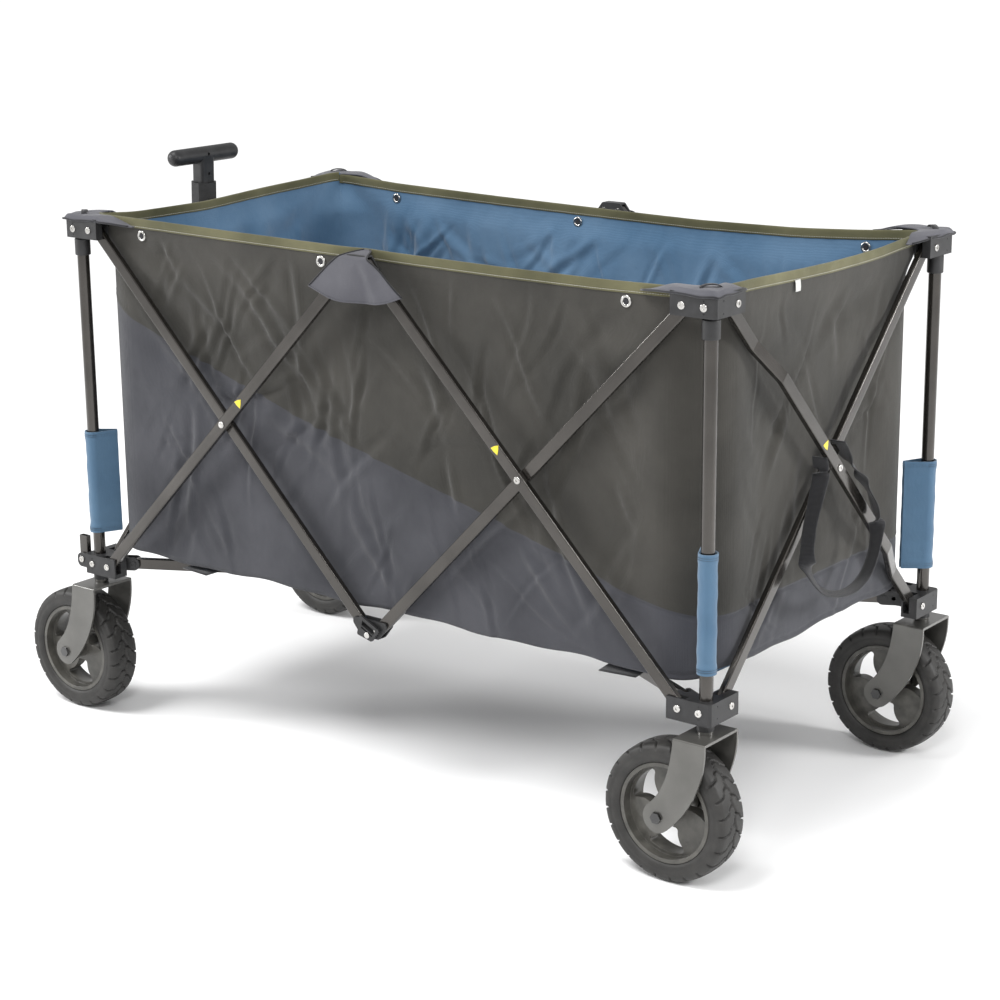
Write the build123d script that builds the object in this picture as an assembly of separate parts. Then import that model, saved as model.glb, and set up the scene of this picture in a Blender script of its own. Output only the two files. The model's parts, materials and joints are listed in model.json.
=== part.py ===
from build123d import *
from math import atan2, cos, degrees, hypot, radians, sin, tan
import os

# A four-wheel folding beach cart. Millimetres, +Z up, +X towards the rear, -Y the near long side.
# The origin is on the ground, at the centre of the four wheels' contact points.

# ---- Driving dimensions: wheels and casters ----
wheel_diameter = 200.0
tyre_width = 56.0
rim_seat_diameter = 144.0
caster_trail = 50.0
crown_length = 50.0
crown_width = 84.0
crown_clearance = 20.0       # top of the wheel to the top of the fork's crown
crown_thickness = 4.0
blade_thickness = 3.5
blade_end_radius = 22.0
axle_diameter = 10.0
kingpin_diameter = 10.0

# ---- Driving dimensions: frame ----
lower_pivot_rise = 17.0      # underside of a lower bracket to its arm pivots
pivot_rise = 547.0           # height from the lower arm pivots to the upper ones
unit_span = 538.0            # sideways distance between the two pivots of a scissor arm
pivot_offset = 34.0          # post axis to the arm pivot beside it
centre_pin_offset = 13.5     # middle of a long side to each pin of its centre hinge
arm_height = 18.0
arm_thickness = 9.5
tube_wall = 1.5
layer_gap = 0.6
post_diameter = 19.0
post_wall = 1.3
post_top_gap = 11.0          # top of a post tube to its upper bracket
slider_wall = 1.2
slider_length = 285.0
slider_seat_depth = 8.0      # top of an upper bracket down to the end of its socket
collar_wall = 2.7
collar_height = 26.0
pin_radius = 3.0
rivet_head_radius = 5.5
rivet_head_height = 2.0
rivet_tail_height = 1.5

# ---- Driving dimensions: brackets and hinges ----
bracket_leg = 52.0
bracket_cheek = 3.0
bracket_gusset = 24.0
bracket_height = 32.0
upper_bracket_drop = 14.0    # upper arm pivots to the underside of their bracket
boss_diameter = 24.0
boss_height = 11.0
thrust_washer_height = 5.0
post_seat_rise = 6.0         # underside of a lower bracket to the foot of its post
ear_thickness = 4.0
floor_pivot_offset = 58.0    # post axis to the floor arm's pivot, along the diagonal
floor_arm_reach = 100.0      # middle of the cart to the floor arm's end pin
hub_thickness = 4.0
hinge_half_length = 32.0
socket_ear_reach = 31.0
socket_tube_rise = 24.0      # top of a lower bracket to the top of its upright stub

# ---- Driving dimensions: offset end arms ----
bent_layer = 17.0            # how far the middle of a bent end arm stands out
joggle_start = 95.0
joggle_end = 165.0

# ---- Driving dimensions: handle ----
handle_pivot_drop = 55.5     # crossing of the end arms to the handle's pivot
handle_pivot_offset = 43.0   # front post plane to the handle's pivot
handle_lean = 2.0            # degrees towards the bag
handle_tube_diameter = 25.0
handle_tube_wall = 1.5
handle_slider_diameter = 20.0
handle_lock_width = 41.0
handle_lock_height = 60.0
handle_lock_rise = 365.0     # handle pivot to the top of the lock collar
grip_diameter = 27.0
grip_length = 153.0
grip_rise = 410.0            # handle pivot to the middle of the grip
neck_diameter = 30.0
yoke_plate = 3.0
yoke_width = 36.0

# ---- Driving dimensions: bag ----
bag_floor_gap = 4.0          # top of the lower brackets to the bag's underside
bag_rim_rise = 12.0          # upper arm pivots to the bag's rim
bag_wall = 3.0
bag_floor_thickness = 4.0
floor_strap_width = 60.0
floor_strap_thickness = 2.5
floor_strap_places = (-370.0, 425.0)
loop_width = 25.0
loop_thickness = 1.8

# ---- Clearances ----
running_fit = 0.08           # radial, a pivot on its pin
seated_fit = 0.05            # radial, a fixed pin or tube in its hole
slide_fit = 0.2              # radial, a telescoping tube
slot_clearance = 0.4         # each side of an arm in its bracket
end_clearance = 1.5          # round an arm's end in its bracket
face_gap = 0.3               # between faces that pass each other
bag_clearance = 0.8

# ---- Worked-out sizes ----
crown_top = wheel_diameter + crown_clearance
boss_bottom = crown_top + thrust_washer_height
lower_bracket_bottom = boss_bottom + boss_height
lower_bracket_top = lower_bracket_bottom + bracket_height
lower_pivot_height = lower_bracket_bottom + lower_pivot_rise
upper_pivot_height = lower_pivot_height + pivot_rise
upper_bracket_bottom = upper_pivot_height - upper_bracket_drop
upper_bracket_top = upper_bracket_bottom + bracket_height
post_seat_height = lower_bracket_bottom + post_seat_rise
post_top = upper_bracket_bottom - post_top_gap
slider_diameter = post_diameter - 2 * (post_wall + slide_fit)
slider_seat_height = upper_bracket_top - slider_seat_depth
socket_tube_top = lower_bracket_top + socket_tube_rise
bag_bottom = lower_bracket_top + bag_floor_gap
bag_top = upper_pivot_height + bag_rim_rise
arm_length = hypot(unit_span, pivot_rise)
arm_angle = degrees(atan2(pivot_rise, unit_span))
cross_height = (lower_pivot_height + upper_pivot_height) / 2
handle_pivot_height = cross_height - handle_pivot_drop
half_length = pivot_offset + unit_span + centre_pin_offset
half_width = pivot_offset + unit_span / 2
centre_x = caster_trail
axle_height = wheel_diameter / 2
outer_layer = arm_thickness + layer_gap
slot_half = arm_thickness / 2 + slot_clearance
slot_reach = arm_height / 2 + end_clearance
block_inner = slot_half + bracket_cheek
block_outer = outer_layer + block_inner
bag_inset = block_inner + rivet_tail_height + bag_clearance
bag_chamfer = bracket_gusset + block_inner + rivet_tail_height * 2 - 2 * bag_inset
diagonal_angle = degrees(atan2(half_width, half_length))
diagonal = hypot(half_length, half_width)
floor_arm_length = diagonal - floor_pivot_offset - floor_arm_reach
bent_outer = bent_layer + arm_thickness / 2
yoke_inner = bent_outer + face_gap
yoke_outer = yoke_inner + yoke_plate
hub_bottom = lower_pivot_height + arm_height / 2 + end_clearance

CORNERS = {"rear_near": (1, -1), "rear_far": (1, 1), "front_far": (-1, 1), "front_near": (-1, -1)}

# Each face of the cart has its own frame: local X runs along the face to the right as seen from
# outside, local Y is up, and local Z points outwards from the plane through the post axes.
FACES = {
    "near": Plane((centre_x, -half_width, 0), (1, 0, 0), (0, -1, 0)).location,
    "far": Plane((centre_x, half_width, 0), (-1, 0, 0), (0, 1, 0)).location,
    "rear": Plane((centre_x + half_length, 0, 0), (0, 1, 0), (1, 0, 0)).location,
    "front": Plane((centre_x - half_length, 0, 0), (0, -1, 0), (-1, 0, 0)).location,
}


# ---- Small shapes ----
def ring(outer_radius, inner_radius, low, high):
    """A round tube or washer about Z, from low to high."""
    middle = Pos(0, 0, (low + high) / 2)
    return middle * (Cylinder(outer_radius, high - low) - Cylinder(inner_radius, high - low + 2))


def block(x_range, y_range, z_range):
    """A box given by its limits."""
    size = [high - low for low, high in (x_range, y_range, z_range)]
    middle = [(low + high) / 2 for low, high in (x_range, y_range, z_range)]
    return Pos(*middle) * Box(*size)


def rivet(low, high):
    """A riveted pin along Z: shank from low to high, domed head above, flat tail below."""
    shank = Pos(0, 0, (low + high) / 2) * Cylinder(pin_radius, high - low)
    head = Pos(0, 0, high + rivet_head_height / 2) * Cylinder(rivet_head_radius, rivet_head_height)
    head = fillet(head.edges().sort_by(Axis.Z)[-1], rivet_head_height * 0.7)
    recess = Pos(0, 0, high + rivet_head_height) * extrude(RegularPolygon(2.0, 6), amount=1.0, both=True)
    tail_radius = rivet_head_radius - 0.5
    tail = Pos(0, 0, low - rivet_tail_height / 2) * Cylinder(tail_radius, rivet_tail_height)
    return shank + head - recess + tail


def along_x(shape):
    """Turn a shape that stands along Z so that its top points along +X."""
    return Rot(0, 90, 0) * shape


def along_minus_y(shape):
    """Turn a shape that stands along Z so that its top points along -Y."""
    return Rot(90, 0, 0) * shape


def along_minus_x(shape):
    """Turn a shape that stands along Z so that its top points along -X."""
    return Rot(0, -90, 0) * shape


# ---- Scissor arms ----
def arm_blank(length):
    """A rounded-end rectangular tube along X, centred on the origin, without holes."""
    outline = SlotCenterToCenter(length, arm_height)
    blank = extrude(outline, amount=arm_thickness / 2, both=True)
    faces = blank.faces().sort_by(Axis.Z)
    blank = fillet(faces[0].edges() + faces[-1].edges(), 1.8)
    cavity = Box(length + 2 * arm_height, arm_height - 2 * tube_wall, arm_thickness - 2 * tube_wall)
    return blank - cavity


def cross_hole(x, radius):
    """A hole right through an arm at x along it."""
    return Pos(x, 0, 0) * Cylinder(radius, 4 * arm_thickness + 2 * bent_layer)


def straight_arm(length, middle_hole):
    """A straight arm: running holes at both ends, and middle_hole is the radius of the middle one."""
    running = pin_radius + running_fit
    ends = cross_hole(-length / 2, running) + cross_hole(length / 2, running)
    return arm_blank(length) - ends - cross_hole(0, middle_hole)


def bent_band(length, thickness, height):
    """The side view of an offset arm, thickness deep, extruded to its height."""
    half = length / 2 + arm_height / 2
    steps = [(half, 0), (length / 2 - joggle_start, 0), (length / 2 - joggle_end, bent_layer)]
    upper = [(-x, z) for x, z in steps] + [(x, z) for x, z in reversed(steps)]
    outline = [(x, z + thickness / 2) for x, z in upper]
    outline += [(x, z - thickness / 2) for x, z in reversed(upper)]
    band = extrude(Plane.XZ * make_face(Polyline(*outline, close=True)), amount=height / 2, both=True)
    return band


def bent_arm(length):
    """An end arm whose middle stands out past the straight arm that it crosses."""
    band = bent_band(length, arm_thickness, arm_height)
    corners = [e for e in band.edges().filter_by(Axis.Y) if abs(e.center().X) < length / 2]
    band = fillet(corners, 9)
    sides = band.faces().sort_by(Axis.Y)
    band = fillet(sides[0].edges() + sides[-1].edges(), 1.5)
    rounded = extrude(SlotCenterToCenter(length, arm_height), amount=3 * bent_layer, both=True)
    band = band & rounded
    band -= bent_band(length + 2, arm_thickness - 2 * tube_wall, arm_height - 2 * tube_wall)
    running = pin_radius + running_fit
    ends = cross_hole(-length / 2, running) + cross_hole(length / 2, running)
    return band - ends - cross_hole(0, pin_radius + seated_fit)


def on_arm(face, start, end, layer):
    """The place of an arm in a face's frame, between two pivots, in a layer."""
    angle = degrees(atan2(end[1] - start[1], end[0] - start[0]))
    middle = Pos((start[0] + end[0]) / 2, (start[1] + end[1]) / 2, layer)
    return FACES[face] * middle * Rot(0, 0, angle)


def side_arms(face):
    """The four arms of one long side, as name: solids."""
    rear = 1 if face == "near" else -1
    made = {}
    for end, way in (("rear", rear), ("front", -rear)):
        corner, centre = way * (half_length - pivot_offset), way * centre_pin_offset
        outer = straight_arm(arm_length, pin_radius + seated_fit)
        place = on_arm(face, (corner, lower_pivot_height), (centre, upper_pivot_height), outer_layer)
        cross = FACES[face] * Pos((corner + centre) / 2, cross_height, 0)
        pin = cross * rivet(-arm_thickness / 2 - face_gap, outer_layer + arm_thickness / 2)
        made[f"arm_{face}_{end}_outer"] = [place * outer, pin]
        inner = straight_arm(arm_length, pin_radius + running_fit)
        place = on_arm(face, (corner, upper_pivot_height), (centre, lower_pivot_height), 0)
        made[f"arm_{face}_{end}_inner"] = [place * inner]
    return made


def end_arms(face):
    """The two arms of one short end, as name: solids."""
    near = -1 if face == "rear" else 1
    reach = half_width - pivot_offset
    low_near, high_far = (near * reach, lower_pivot_height), (-near * reach, upper_pivot_height)
    high_near, low_far = (near * reach, upper_pivot_height), (-near * reach, lower_pivot_height)
    straight = on_arm(face, low_near, high_far, 0) * straight_arm(arm_length, pin_radius + running_fit)
    bent = on_arm(face, high_near, low_far, 0) * bent_arm(arm_length)
    cross = FACES[face] * Pos(0, cross_height, 0)
    top = bent_outer if face == "rear" else yoke_outer
    pin = cross * rivet(-arm_thickness / 2 - face_gap, top)
    low, high = arm_thickness / 2 + face_gap, bent_layer - arm_thickness / 2
    bush = cross * ring(rivet_head_radius, pin_radius + seated_fit, low, high)
    return {f"arm_{face}_straight": [straight], f"arm_{face}_bent": [bent, pin, bush]}


# ---- Centre hinges of the long sides ----
def centre_hinge(layer, arms_go_up):
    """A moulded centre hinge at the origin of a face, its arms in one layer."""
    way = 1 if arms_go_up else -1
    half = hinge_half_length
    points = [(-half, 15), (-half, 6), (-17, -13), (17, -13), (half, 6), (half, 15)]
    outline = make_face(Polyline(*[(x, way * y) for x, y in points], close=True))
    body = extrude(outline, amount=block_inner, both=True)
    body = fillet(body.edges().filter_by(Axis.Z), 4)
    low, high = (-slot_reach, 20) if arms_go_up else (-20, slot_reach)
    body -= block((-half - 1, half + 1), (low, high), (-slot_half, slot_half))
    pins = []
    for x in (-centre_pin_offset, centre_pin_offset):
        body -= Pos(x, 0, 0) * Cylinder(pin_radius + seated_fit, 3 * block_inner)
        pins.append(Pos(x, 0, layer) * rivet(-block_inner, block_inner))
    return [Pos(0, 0, layer) * body] + pins


def hinge_cover():
    """The ribbed triangular cover on a lower centre hinge, with its screw."""
    low = block_inner + rivet_head_height + 0.1
    shell = extrude(make_face(Polyline((-20, -9), (8, -16), (24, 4), (-14, 22), close=True)), amount=4)
    shell = fillet(shell.edges().filter_by(Axis.Z), 3)
    window = extrude(make_face(Polyline((-12, 2), (9, -8), (16, 2), (-9, 14), close=True)), amount=9)
    rib = Rot(0, 0, -28) * Box(40, 2, 8)
    shell = Pos(0, 0, low) * (shell - (window - rib))
    stand = Pos(0, -7, low / 2 + block_inner / 2) * Cylinder(4.5, low - block_inner)
    screw = Pos(0, -7, low + 4 + 1) * Cylinder(5, 2)
    return [shell + stand, fillet(screw.edges().sort_by(Axis.Z)[-1], 1.2)]


# ---- Corner brackets. Drawn for the front near corner, whose legs run along +X and +Y ----
def bracket_plan():
    """The plan of a corner bracket about its post axis."""
    out, inn, leg, gusset = -block_outer, block_inner, bracket_leg, bracket_gusset
    chamfer = 4.0
    points = [(out + chamfer, out), (leg, out), (leg, inn), (gusset, inn), (inn, gusset)]
    points += [(inn, leg), (out, leg), (out, out + chamfer)]
    return make_face(Polyline(*points, close=True))


def arm_slots(low, high, long_side_layer):
    """The two slots that the arms of a corner turn in."""
    start, stop = pivot_offset - slot_reach, bracket_leg + 1
    y = -long_side_layer
    long_slot = block((start, stop), (y - slot_half, y + slot_half), (low, high))
    end_slot = block((-slot_half, slot_half), (start, stop), (low, high))
    return long_slot + end_slot


def bracket_pins(pivot):
    """The two arm pins of a bracket, and the post screw."""
    long_pin = Pos(pivot_offset, 0, pivot) * along_minus_y(rivet(-block_inner, block_outer))
    end_pin = Pos(0, pivot_offset, pivot) * along_minus_x(rivet(-block_inner, block_outer))
    screw = Pos(0, 0, pivot) * along_minus_y(rivet(post_diameter / 2 + 2, block_outer))
    cut = post_diameter / 2 + 1
    screw -= block((-10, 10), (-cut, 10), (pivot - 10, pivot + 10))
    return [long_pin, end_pin, screw]


def bracket_holes(pivot):
    """The holes for those pins."""
    radius = pin_radius + seated_fit
    deep = 4 * block_outer
    holes = Pos(pivot_offset, 0, pivot) * along_minus_y(Cylinder(radius, deep))
    holes += Pos(0, pivot_offset, pivot) * along_x(Cylinder(radius, deep))
    for drop in (-8.5, 8.5):
        for turn in (Pos(0, -block_outer, pivot + drop), Pos(-block_outer, 0, pivot + drop)):
            holes += turn * Sphere(1.1)
    tail = Cylinder(rivet_head_radius - 0.5 + seated_fit, rivet_tail_height + face_gap)
    inside = block_inner + (rivet_tail_height + face_gap) / 2
    holes += Pos(pivot_offset, inside, pivot) * along_minus_y(tail)
    holes += Pos(inside, pivot_offset, pivot) * along_x(tail)
    return holes


def screw_pocket(pivot, bore_radius):
    """The hole of the post screw, from the outside into the post's socket."""
    pocket = Pos(0, -block_outer / 2 - bore_radius / 2, pivot)
    clear_length = block_outer - bore_radius + 2
    hole = pocket * along_minus_y(Cylinder(pin_radius + seated_fit, clear_length))
    flare = Pos(0, 0, pivot) * along_minus_y(ring(rivet_head_radius, 0.01, bore_radius - 2, bore_radius + 3.4))
    return hole + flare


def floor_ear():
    """The clevis on the diagonal that holds a floor arm."""
    outer = slot_half + ear_thickness
    reach = floor_pivot_offset + slot_reach
    low, high = lower_pivot_height - slot_reach, lower_pivot_height + slot_reach
    ear = block((14, reach), (-outer, outer), (low, high))
    ear = fillet(ear.edges().filter_by(Axis.Y).group_by(Axis.X)[-1], slot_reach * 0.9)
    slot = block((floor_pivot_offset - slot_reach, reach + 1), (-slot_half, slot_half), (low - 1, high + 1))
    hole = Pos(floor_pivot_offset, 0, lower_pivot_height) * along_minus_y(
        Cylinder(pin_radius + seated_fit, 3 * outer))
    pin = Pos(floor_pivot_offset, 0, lower_pivot_height) * along_minus_y(rivet(-outer, outer))
    turn = Rot(0, 0, diagonal_angle)
    return turn * (ear - slot), turn * hole, turn * slot, turn * pin


def socket_ear():
    """The forward ear of a front bracket, its short upright tube and the rivet that holds it."""
    half, centre = slot_half + ear_thickness, -pivot_offset
    low, high = lower_pivot_height - slot_reach - 2, lower_pivot_height + slot_reach
    ear = block((centre - slot_reach, -block_outer + 2), (-half, half), (low, high))
    ear = fillet(ear.edges().filter_by(Axis.Y).group_by(Axis.X)[0], slot_reach * 0.85)
    slot = block((centre - slot_reach - 1, centre + slot_reach), (-slot_half, slot_half), (low + 2, high + 1))
    place = Pos(centre, 0, lower_pivot_height)
    hole = place * along_minus_y(Cylinder(pin_radius + seated_fit, 4 * half))
    tube_low = lower_pivot_height - arm_height / 2
    x_range = (centre - arm_height / 2, centre + arm_height / 2)
    y_range = (-arm_thickness / 2, arm_thickness / 2)
    tube = block(x_range, y_range, (tube_low, socket_tube_top))
    tube = fillet(tube.edges().filter_by(Axis.Z), 1.8)
    x_bore = (x_range[0] + tube_wall, x_range[1] - tube_wall)
    y_bore = (y_range[0] + tube_wall, y_range[1] - tube_wall)
    tube -= block(x_bore, y_bore, (tube_low - 1, socket_tube_top + 1))
    return ear - slot - hole, tube - hole, place * along_minus_y(rivet(-half, half))


def lower_bracket(name):
    """A lower corner bracket with its rivets, placed at its corner."""
    pivot = lower_pivot_height
    body = extrude(bracket_plan(), amount=lower_bracket_top - lower_bracket_bottom)
    body = Pos(0, 0, lower_bracket_bottom) * body
    ear, ear_hole, ear_slot, ear_pin = floor_ear()
    body += ear
    body -= arm_slots(pivot - slot_reach, lower_bracket_top + 1, outer_layer)
    body -= ear_slot + ear_hole
    body += ring(boss_diameter / 2, 0.01, boss_bottom, lower_bracket_bottom + 1)
    body -= ring(kingpin_diameter / 2 + running_fit, 0, boss_bottom - 1, post_seat_height + 1)
    socket = post_diameter / 2 + seated_fit
    body -= ring(socket, 0, post_seat_height, lower_bracket_top + 1)
    body -= bracket_holes(pivot) + screw_pocket(pivot, socket)
    solids = [body] + bracket_pins(pivot) + [ear_pin]
    if CORNERS[name][0] < 0:
        ear, tube, pin = socket_ear()
        solids[0] = solids[0] + ear
        solids += [tube, pin]
    return [to_corner(s, name) for s in solids]


def upper_bracket(name):
    """An upper corner bracket with its rivets."""
    pivot = upper_pivot_height
    body = extrude(bracket_plan(), amount=upper_bracket_top - upper_bracket_bottom)
    body = Pos(0, 0, upper_bracket_bottom) * body
    body -= arm_slots(upper_bracket_bottom - 1, pivot + slot_reach, 0)
    socket = slider_diameter / 2 + seated_fit
    body -= ring(socket, 0, upper_bracket_bottom - 1, slider_seat_height)
    body -= bracket_holes(pivot) + screw_pocket(pivot, post_diameter / 2)
    return [to_corner(s, name) for s in [body] + bracket_pins(pivot)]


def slider(name):
    """The inner tube that an upper bracket carries, which slides in the post."""
    low = slider_seat_height - slider_length
    tube = ring(slider_diameter / 2, slider_diameter / 2 - slider_wall, low, slider_seat_height)
    return [at_corner(tube, name)]


def post(name):
    """An outer post tube and the collar on its top."""
    radius = post_diameter / 2
    tube = ring(radius, radius - post_wall, post_seat_height, post_top)
    collar_low = post_top - collar_height + 8
    collar = ring(radius + collar_wall, slider_diameter / 2 + slide_fit, collar_low, collar_low + collar_height)
    collar -= ring(radius + seated_fit, 0, collar_low - 1, post_top)
    rims = collar.edges().filter_by(GeomType.CIRCLE).sort_by(SortBy.RADIUS)[-2:]
    return [to_corner(s, name) for s in (tube, fillet(rims, 1.2))]


def to_corner(shape, name):
    """Mirror a shape drawn for the front near corner to another corner, and put it there."""
    along, across = CORNERS[name]
    if along > 0:
        shape = mirror(shape, Plane.YZ)
    if across > 0:
        shape = mirror(shape, Plane.XZ)
    return at_corner(shape, name)


def at_corner(shape, name):
    """Move a shape drawn about a post axis to its corner."""
    along, across = CORNERS[name]
    return Pos(centre_x + along * half_length, across * half_width, 0) * shape


# ---- Floor: four diagonal arms and the hub over their ends ----
def floor_arm(name):
    """A floor arm from its corner's clevis towards the middle."""
    middle = floor_pivot_offset + floor_arm_length / 2
    arm = along_minus_y(straight_arm(floor_arm_length, pin_radius + running_fit))
    arm = Rot(0, 0, diagonal_angle) * Pos(middle, 0, lower_pivot_height) * arm
    return [to_corner(arm, name)]


def floor_hub():
    """A cross-shaped plate that lies over the floor arms, with a pin boss for each."""
    reach = floor_arm_reach + arm_height / 2
    plate = Cylinder(34, hub_thickness)
    pins = []
    for name, (along, across) in CORNERS.items():
        turn = Rot(0, 0, degrees(atan2(across * half_width, along * half_length)))
        plate += turn * block((0, reach), (-13, 13), (-hub_thickness / 2, hub_thickness / 2))
        if name != "rear_near":
            continue
        for side in (-1, 1):
            y_range = sorted((side * slot_half, side * (slot_half + ear_thickness)))
            drop = hub_bottom - lower_pivot_height
            z_range = (-drop - arm_height / 2, 0)
            cheek = block((floor_arm_reach - 9, floor_arm_reach + 9), y_range, z_range)
            plate += turn * cheek
        half = slot_half + ear_thickness
        place = Pos(floor_arm_reach, 0, -drop - hub_thickness / 2)
        plate -= turn * place * along_minus_y(Cylinder(pin_radius + seated_fit, 3 * half))
        pins.append(turn * place * along_minus_y(rivet(-half, half)))
    place = Pos(centre_x, 0, hub_bottom + hub_thickness / 2)
    return [place * s for s in [plate] + pins]


# ---- Casters ----
def fork_blade():
    """The swept side blade of a fork, about the post axis, standing on the XZ plane."""
    half, radius = crown_length / 2, blade_end_radius
    x, z = -caster_trail, axle_height
    lean = radians(41)
    across, down = radius * cos(lean + radians(8)), radius * sin(lean + radians(8))
    front_end, back_end = (x + across, z - down), (x - across, z + down)
    tip = (x - down, z - across)
    front = Spline((half, crown_top), (half - 3, z + 80), (half - 17, z + 40), (x + 36, z + 6), front_end)
    back = Spline(back_end, (x + 6, z + 43), (x + 19, z + 78), (-half, crown_top))
    outline = front + ThreePointArc(front_end, tip, back_end) + back + Line((-half, crown_top), (half, crown_top))
    return extrude(Plane.XZ * make_face(outline), amount=blade_thickness)


def fork(name):
    """A caster fork with its kingpin, thrust washer, axle bolt, nut and spacers."""
    low = crown_top - crown_thickness
    half_x, half_y = crown_length / 2, crown_width / 2
    crown = block((-half_x, half_x), (-half_y, half_y), (low, crown_top))
    body = crown + Pos(0, -half_y + blade_thickness, 0) * fork_blade() + Pos(0, half_y, 0) * fork_blade()
    folds = [e for e in body.edges().filter_by(Axis.X) if e.center().Z > low + 1]
    body = fillet(folds, 2.6)
    body -= ring(kingpin_diameter / 2 + seated_fit, 0, low - 1, crown_top + 1)
    axle_place = Pos(-caster_trail, 0, axle_height)
    body -= axle_place * along_minus_y(Cylinder(axle_diameter / 2 + seated_fit, crown_width + 2))
    kingpin = ring(kingpin_diameter / 2, 0, low - 4, post_seat_height + 7)
    kingpin += ring(9, 0, low - 4, low)
    nut_low = post_seat_height + face_gap
    kingpin += Pos(0, 0, nut_low) * extrude(RegularPolygon(7.2, 6), amount=post_seat_height + 7 - nut_low)
    washer = ring(boss_diameter / 2 - 1, kingpin_diameter / 2 + seated_fit, crown_top, boss_bottom - face_gap)
    bolt = Cylinder(axle_diameter / 2, crown_width + 8)
    nut = extrude(RegularPolygon(8.5, 6), amount=4)
    bolt += Pos(0, 0, half_y) * nut + Pos(0, 0, -half_y - 4) * nut
    solids = [body, kingpin, washer, axle_place * along_minus_y(bolt)]
    hub_half = tyre_width / 2 + 8
    for side in (-1, 1):
        low_y, high_y = sorted((side * (hub_half + face_gap), side * (half_y - blade_thickness)))
        spacer = ring(9, axle_diameter / 2 + seated_fit, low_y, high_y)
        solids.append(axle_place * along_minus_y(spacer))
    return [at_corner(s, name) for s in solids]


def wheel_place(name):
    """The place of a wheel drawn about Z, its outer side up."""
    along, across = CORNERS[name]
    x = centre_x + along * half_length - caster_trail
    return Pos(x, across * half_width, axle_height) * Rot(90, 0, 0)


def wheel_rim(name):
    """A moulded rim: seat, web with three curved spokes, and hub."""
    seat, half = rim_seat_diameter / 2, tyre_width / 2
    body = ring(seat, seat - 6, -half + 4, half - 4)
    body += ring(seat - 5, 16, -9, 9)
    low_in, low_out, high_out, high_in = (22, -6), (48, -38), (55, 27), (24, 13)
    outline = ThreePointArc(low_in, (39, -17), low_out) + ThreePointArc(low_out, (61, -5), high_out)
    outline += ThreePointArc(high_out, (41, 15), high_in) + Line(high_in, low_in)
    opening = make_face(outline)
    opening = extrude(fillet(opening.vertices(), 4), amount=20, both=True)
    for spoke in range(3):
        body -= Rot(0, 0, 120 * spoke + 30) * opening
    body += ring(17, 0, -half - 8, half + 8)
    body -= ring(axle_diameter / 2 + running_fit, 0, -half - 9, half + 9)
    return [wheel_place(name) * body]


def tyre(name):
    """The tyre's section, turned about the axle."""
    outer, inner, half = wheel_diameter / 2, rim_seat_diameter / 2 + seated_fit, tyre_width / 2
    section = Polyline((inner, -half + 6), (inner + 8, -half), (outer - 10, -half), (outer, -half + 12),
                       (outer, half - 12), (outer - 10, half), (inner + 8, half), (inner, half - 6), close=True)
    body = revolve(Plane.XZ * make_face(section), Axis.Z)
    edges = body.edges().filter_by(GeomType.CIRCLE).sort_by(SortBy.RADIUS)[-4:]
    return [wheel_place(name) * fillet(edges, 4)]


# ---- Handle: drawn about its pivot, upright, then leaned towards the bag ----
def handle_place():
    """The place of the handle's own frame."""
    x = centre_x - half_length - handle_pivot_offset
    return Pos(x, 0, handle_pivot_height) * Rot(0, handle_lean, 0)


def handle_yoke():
    """The yoke on the front crossing rivet that carries the handle's pivot."""
    half, cheek = yoke_width / 2, 4.0
    low, high = handle_pivot_height - 16, cross_height + 16
    plate = block((-half, half), (low, high), (yoke_inner, yoke_outer))
    plate = fillet(plate.edges().filter_by(Axis.Z).group_by(Axis.Y)[-1], 12)
    top = handle_pivot_height + 14
    reach = handle_pivot_offset + 13
    for side in (-1, 1):
        x_range = sorted((side * half, side * (half - cheek)))
        wing = block(x_range, (low, top), (yoke_inner, reach))
        plate += fillet(wing.edges().filter_by(Axis.X).group_by(Axis.Z)[-1], 11)
    plate -= Pos(0, cross_height, yoke_outer) * Cylinder(pin_radius + running_fit, 20)
    place = Pos(0, handle_pivot_height, handle_pivot_offset) * Rot(0, 90, 0)
    plate -= place * Cylinder(pin_radius + seated_fit, 2 * yoke_width)
    pin = place * rivet(-half, half)
    return [FACES["front"] * s for s in (plate, pin)]


def handle_outer():
    """The handle's lower tube, its pivot plug and the lock collar at its top."""
    radius = handle_tube_diameter / 2
    top = handle_lock_rise
    tube = ring(radius, radius - handle_tube_wall, 8, top - 6)
    plug = ring(radius, 0, -10, 8) + ring(radius - handle_tube_wall - seated_fit, 0, 7, 30)
    plug = fillet(plug.edges().filter_by(GeomType.CIRCLE).sort_by(Axis.Z)[0], 4)
    plug -= along_minus_y(Cylinder(pin_radius + running_fit, 40))
    spacers = []
    for side in (-1, 1):
        low, high = sorted((side * (radius + 0.2), side * (yoke_width / 2 - 4 - face_gap)))
        spacers.append(along_minus_y(ring(7, pin_radius + running_fit, low, high)))
    outline = RegularPolygon(handle_lock_width / 2, 8, major_radius=False, rotation=22.5)
    lock = Pos(0, 0, top - handle_lock_height) * extrude(outline, amount=handle_lock_height)
    lock = chamfer(lock.faces().sort_by(Axis.Z)[0].edges(), 3)
    lock -= ring(radius + seated_fit, 0, top - handle_lock_height - 1, top - 6)
    lock -= ring(handle_slider_diameter / 2 + slide_fit, 0, top - 7, top + 1)
    return [handle_place() * s for s in (tube, plug, lock, *spacers)]


def handle_slider():
    """The handle's sliding tube, with the guide bush on its lower end."""
    radius = handle_slider_diameter / 2
    top = grip_rise - grip_diameter / 2
    tube = ring(radius, radius - 1.5, 36, top)
    bush = ring(handle_tube_diameter / 2 - handle_tube_wall - 0.1, radius + seated_fit, 36, 56)
    return [handle_place() * s for s in (tube, bush)]


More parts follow.
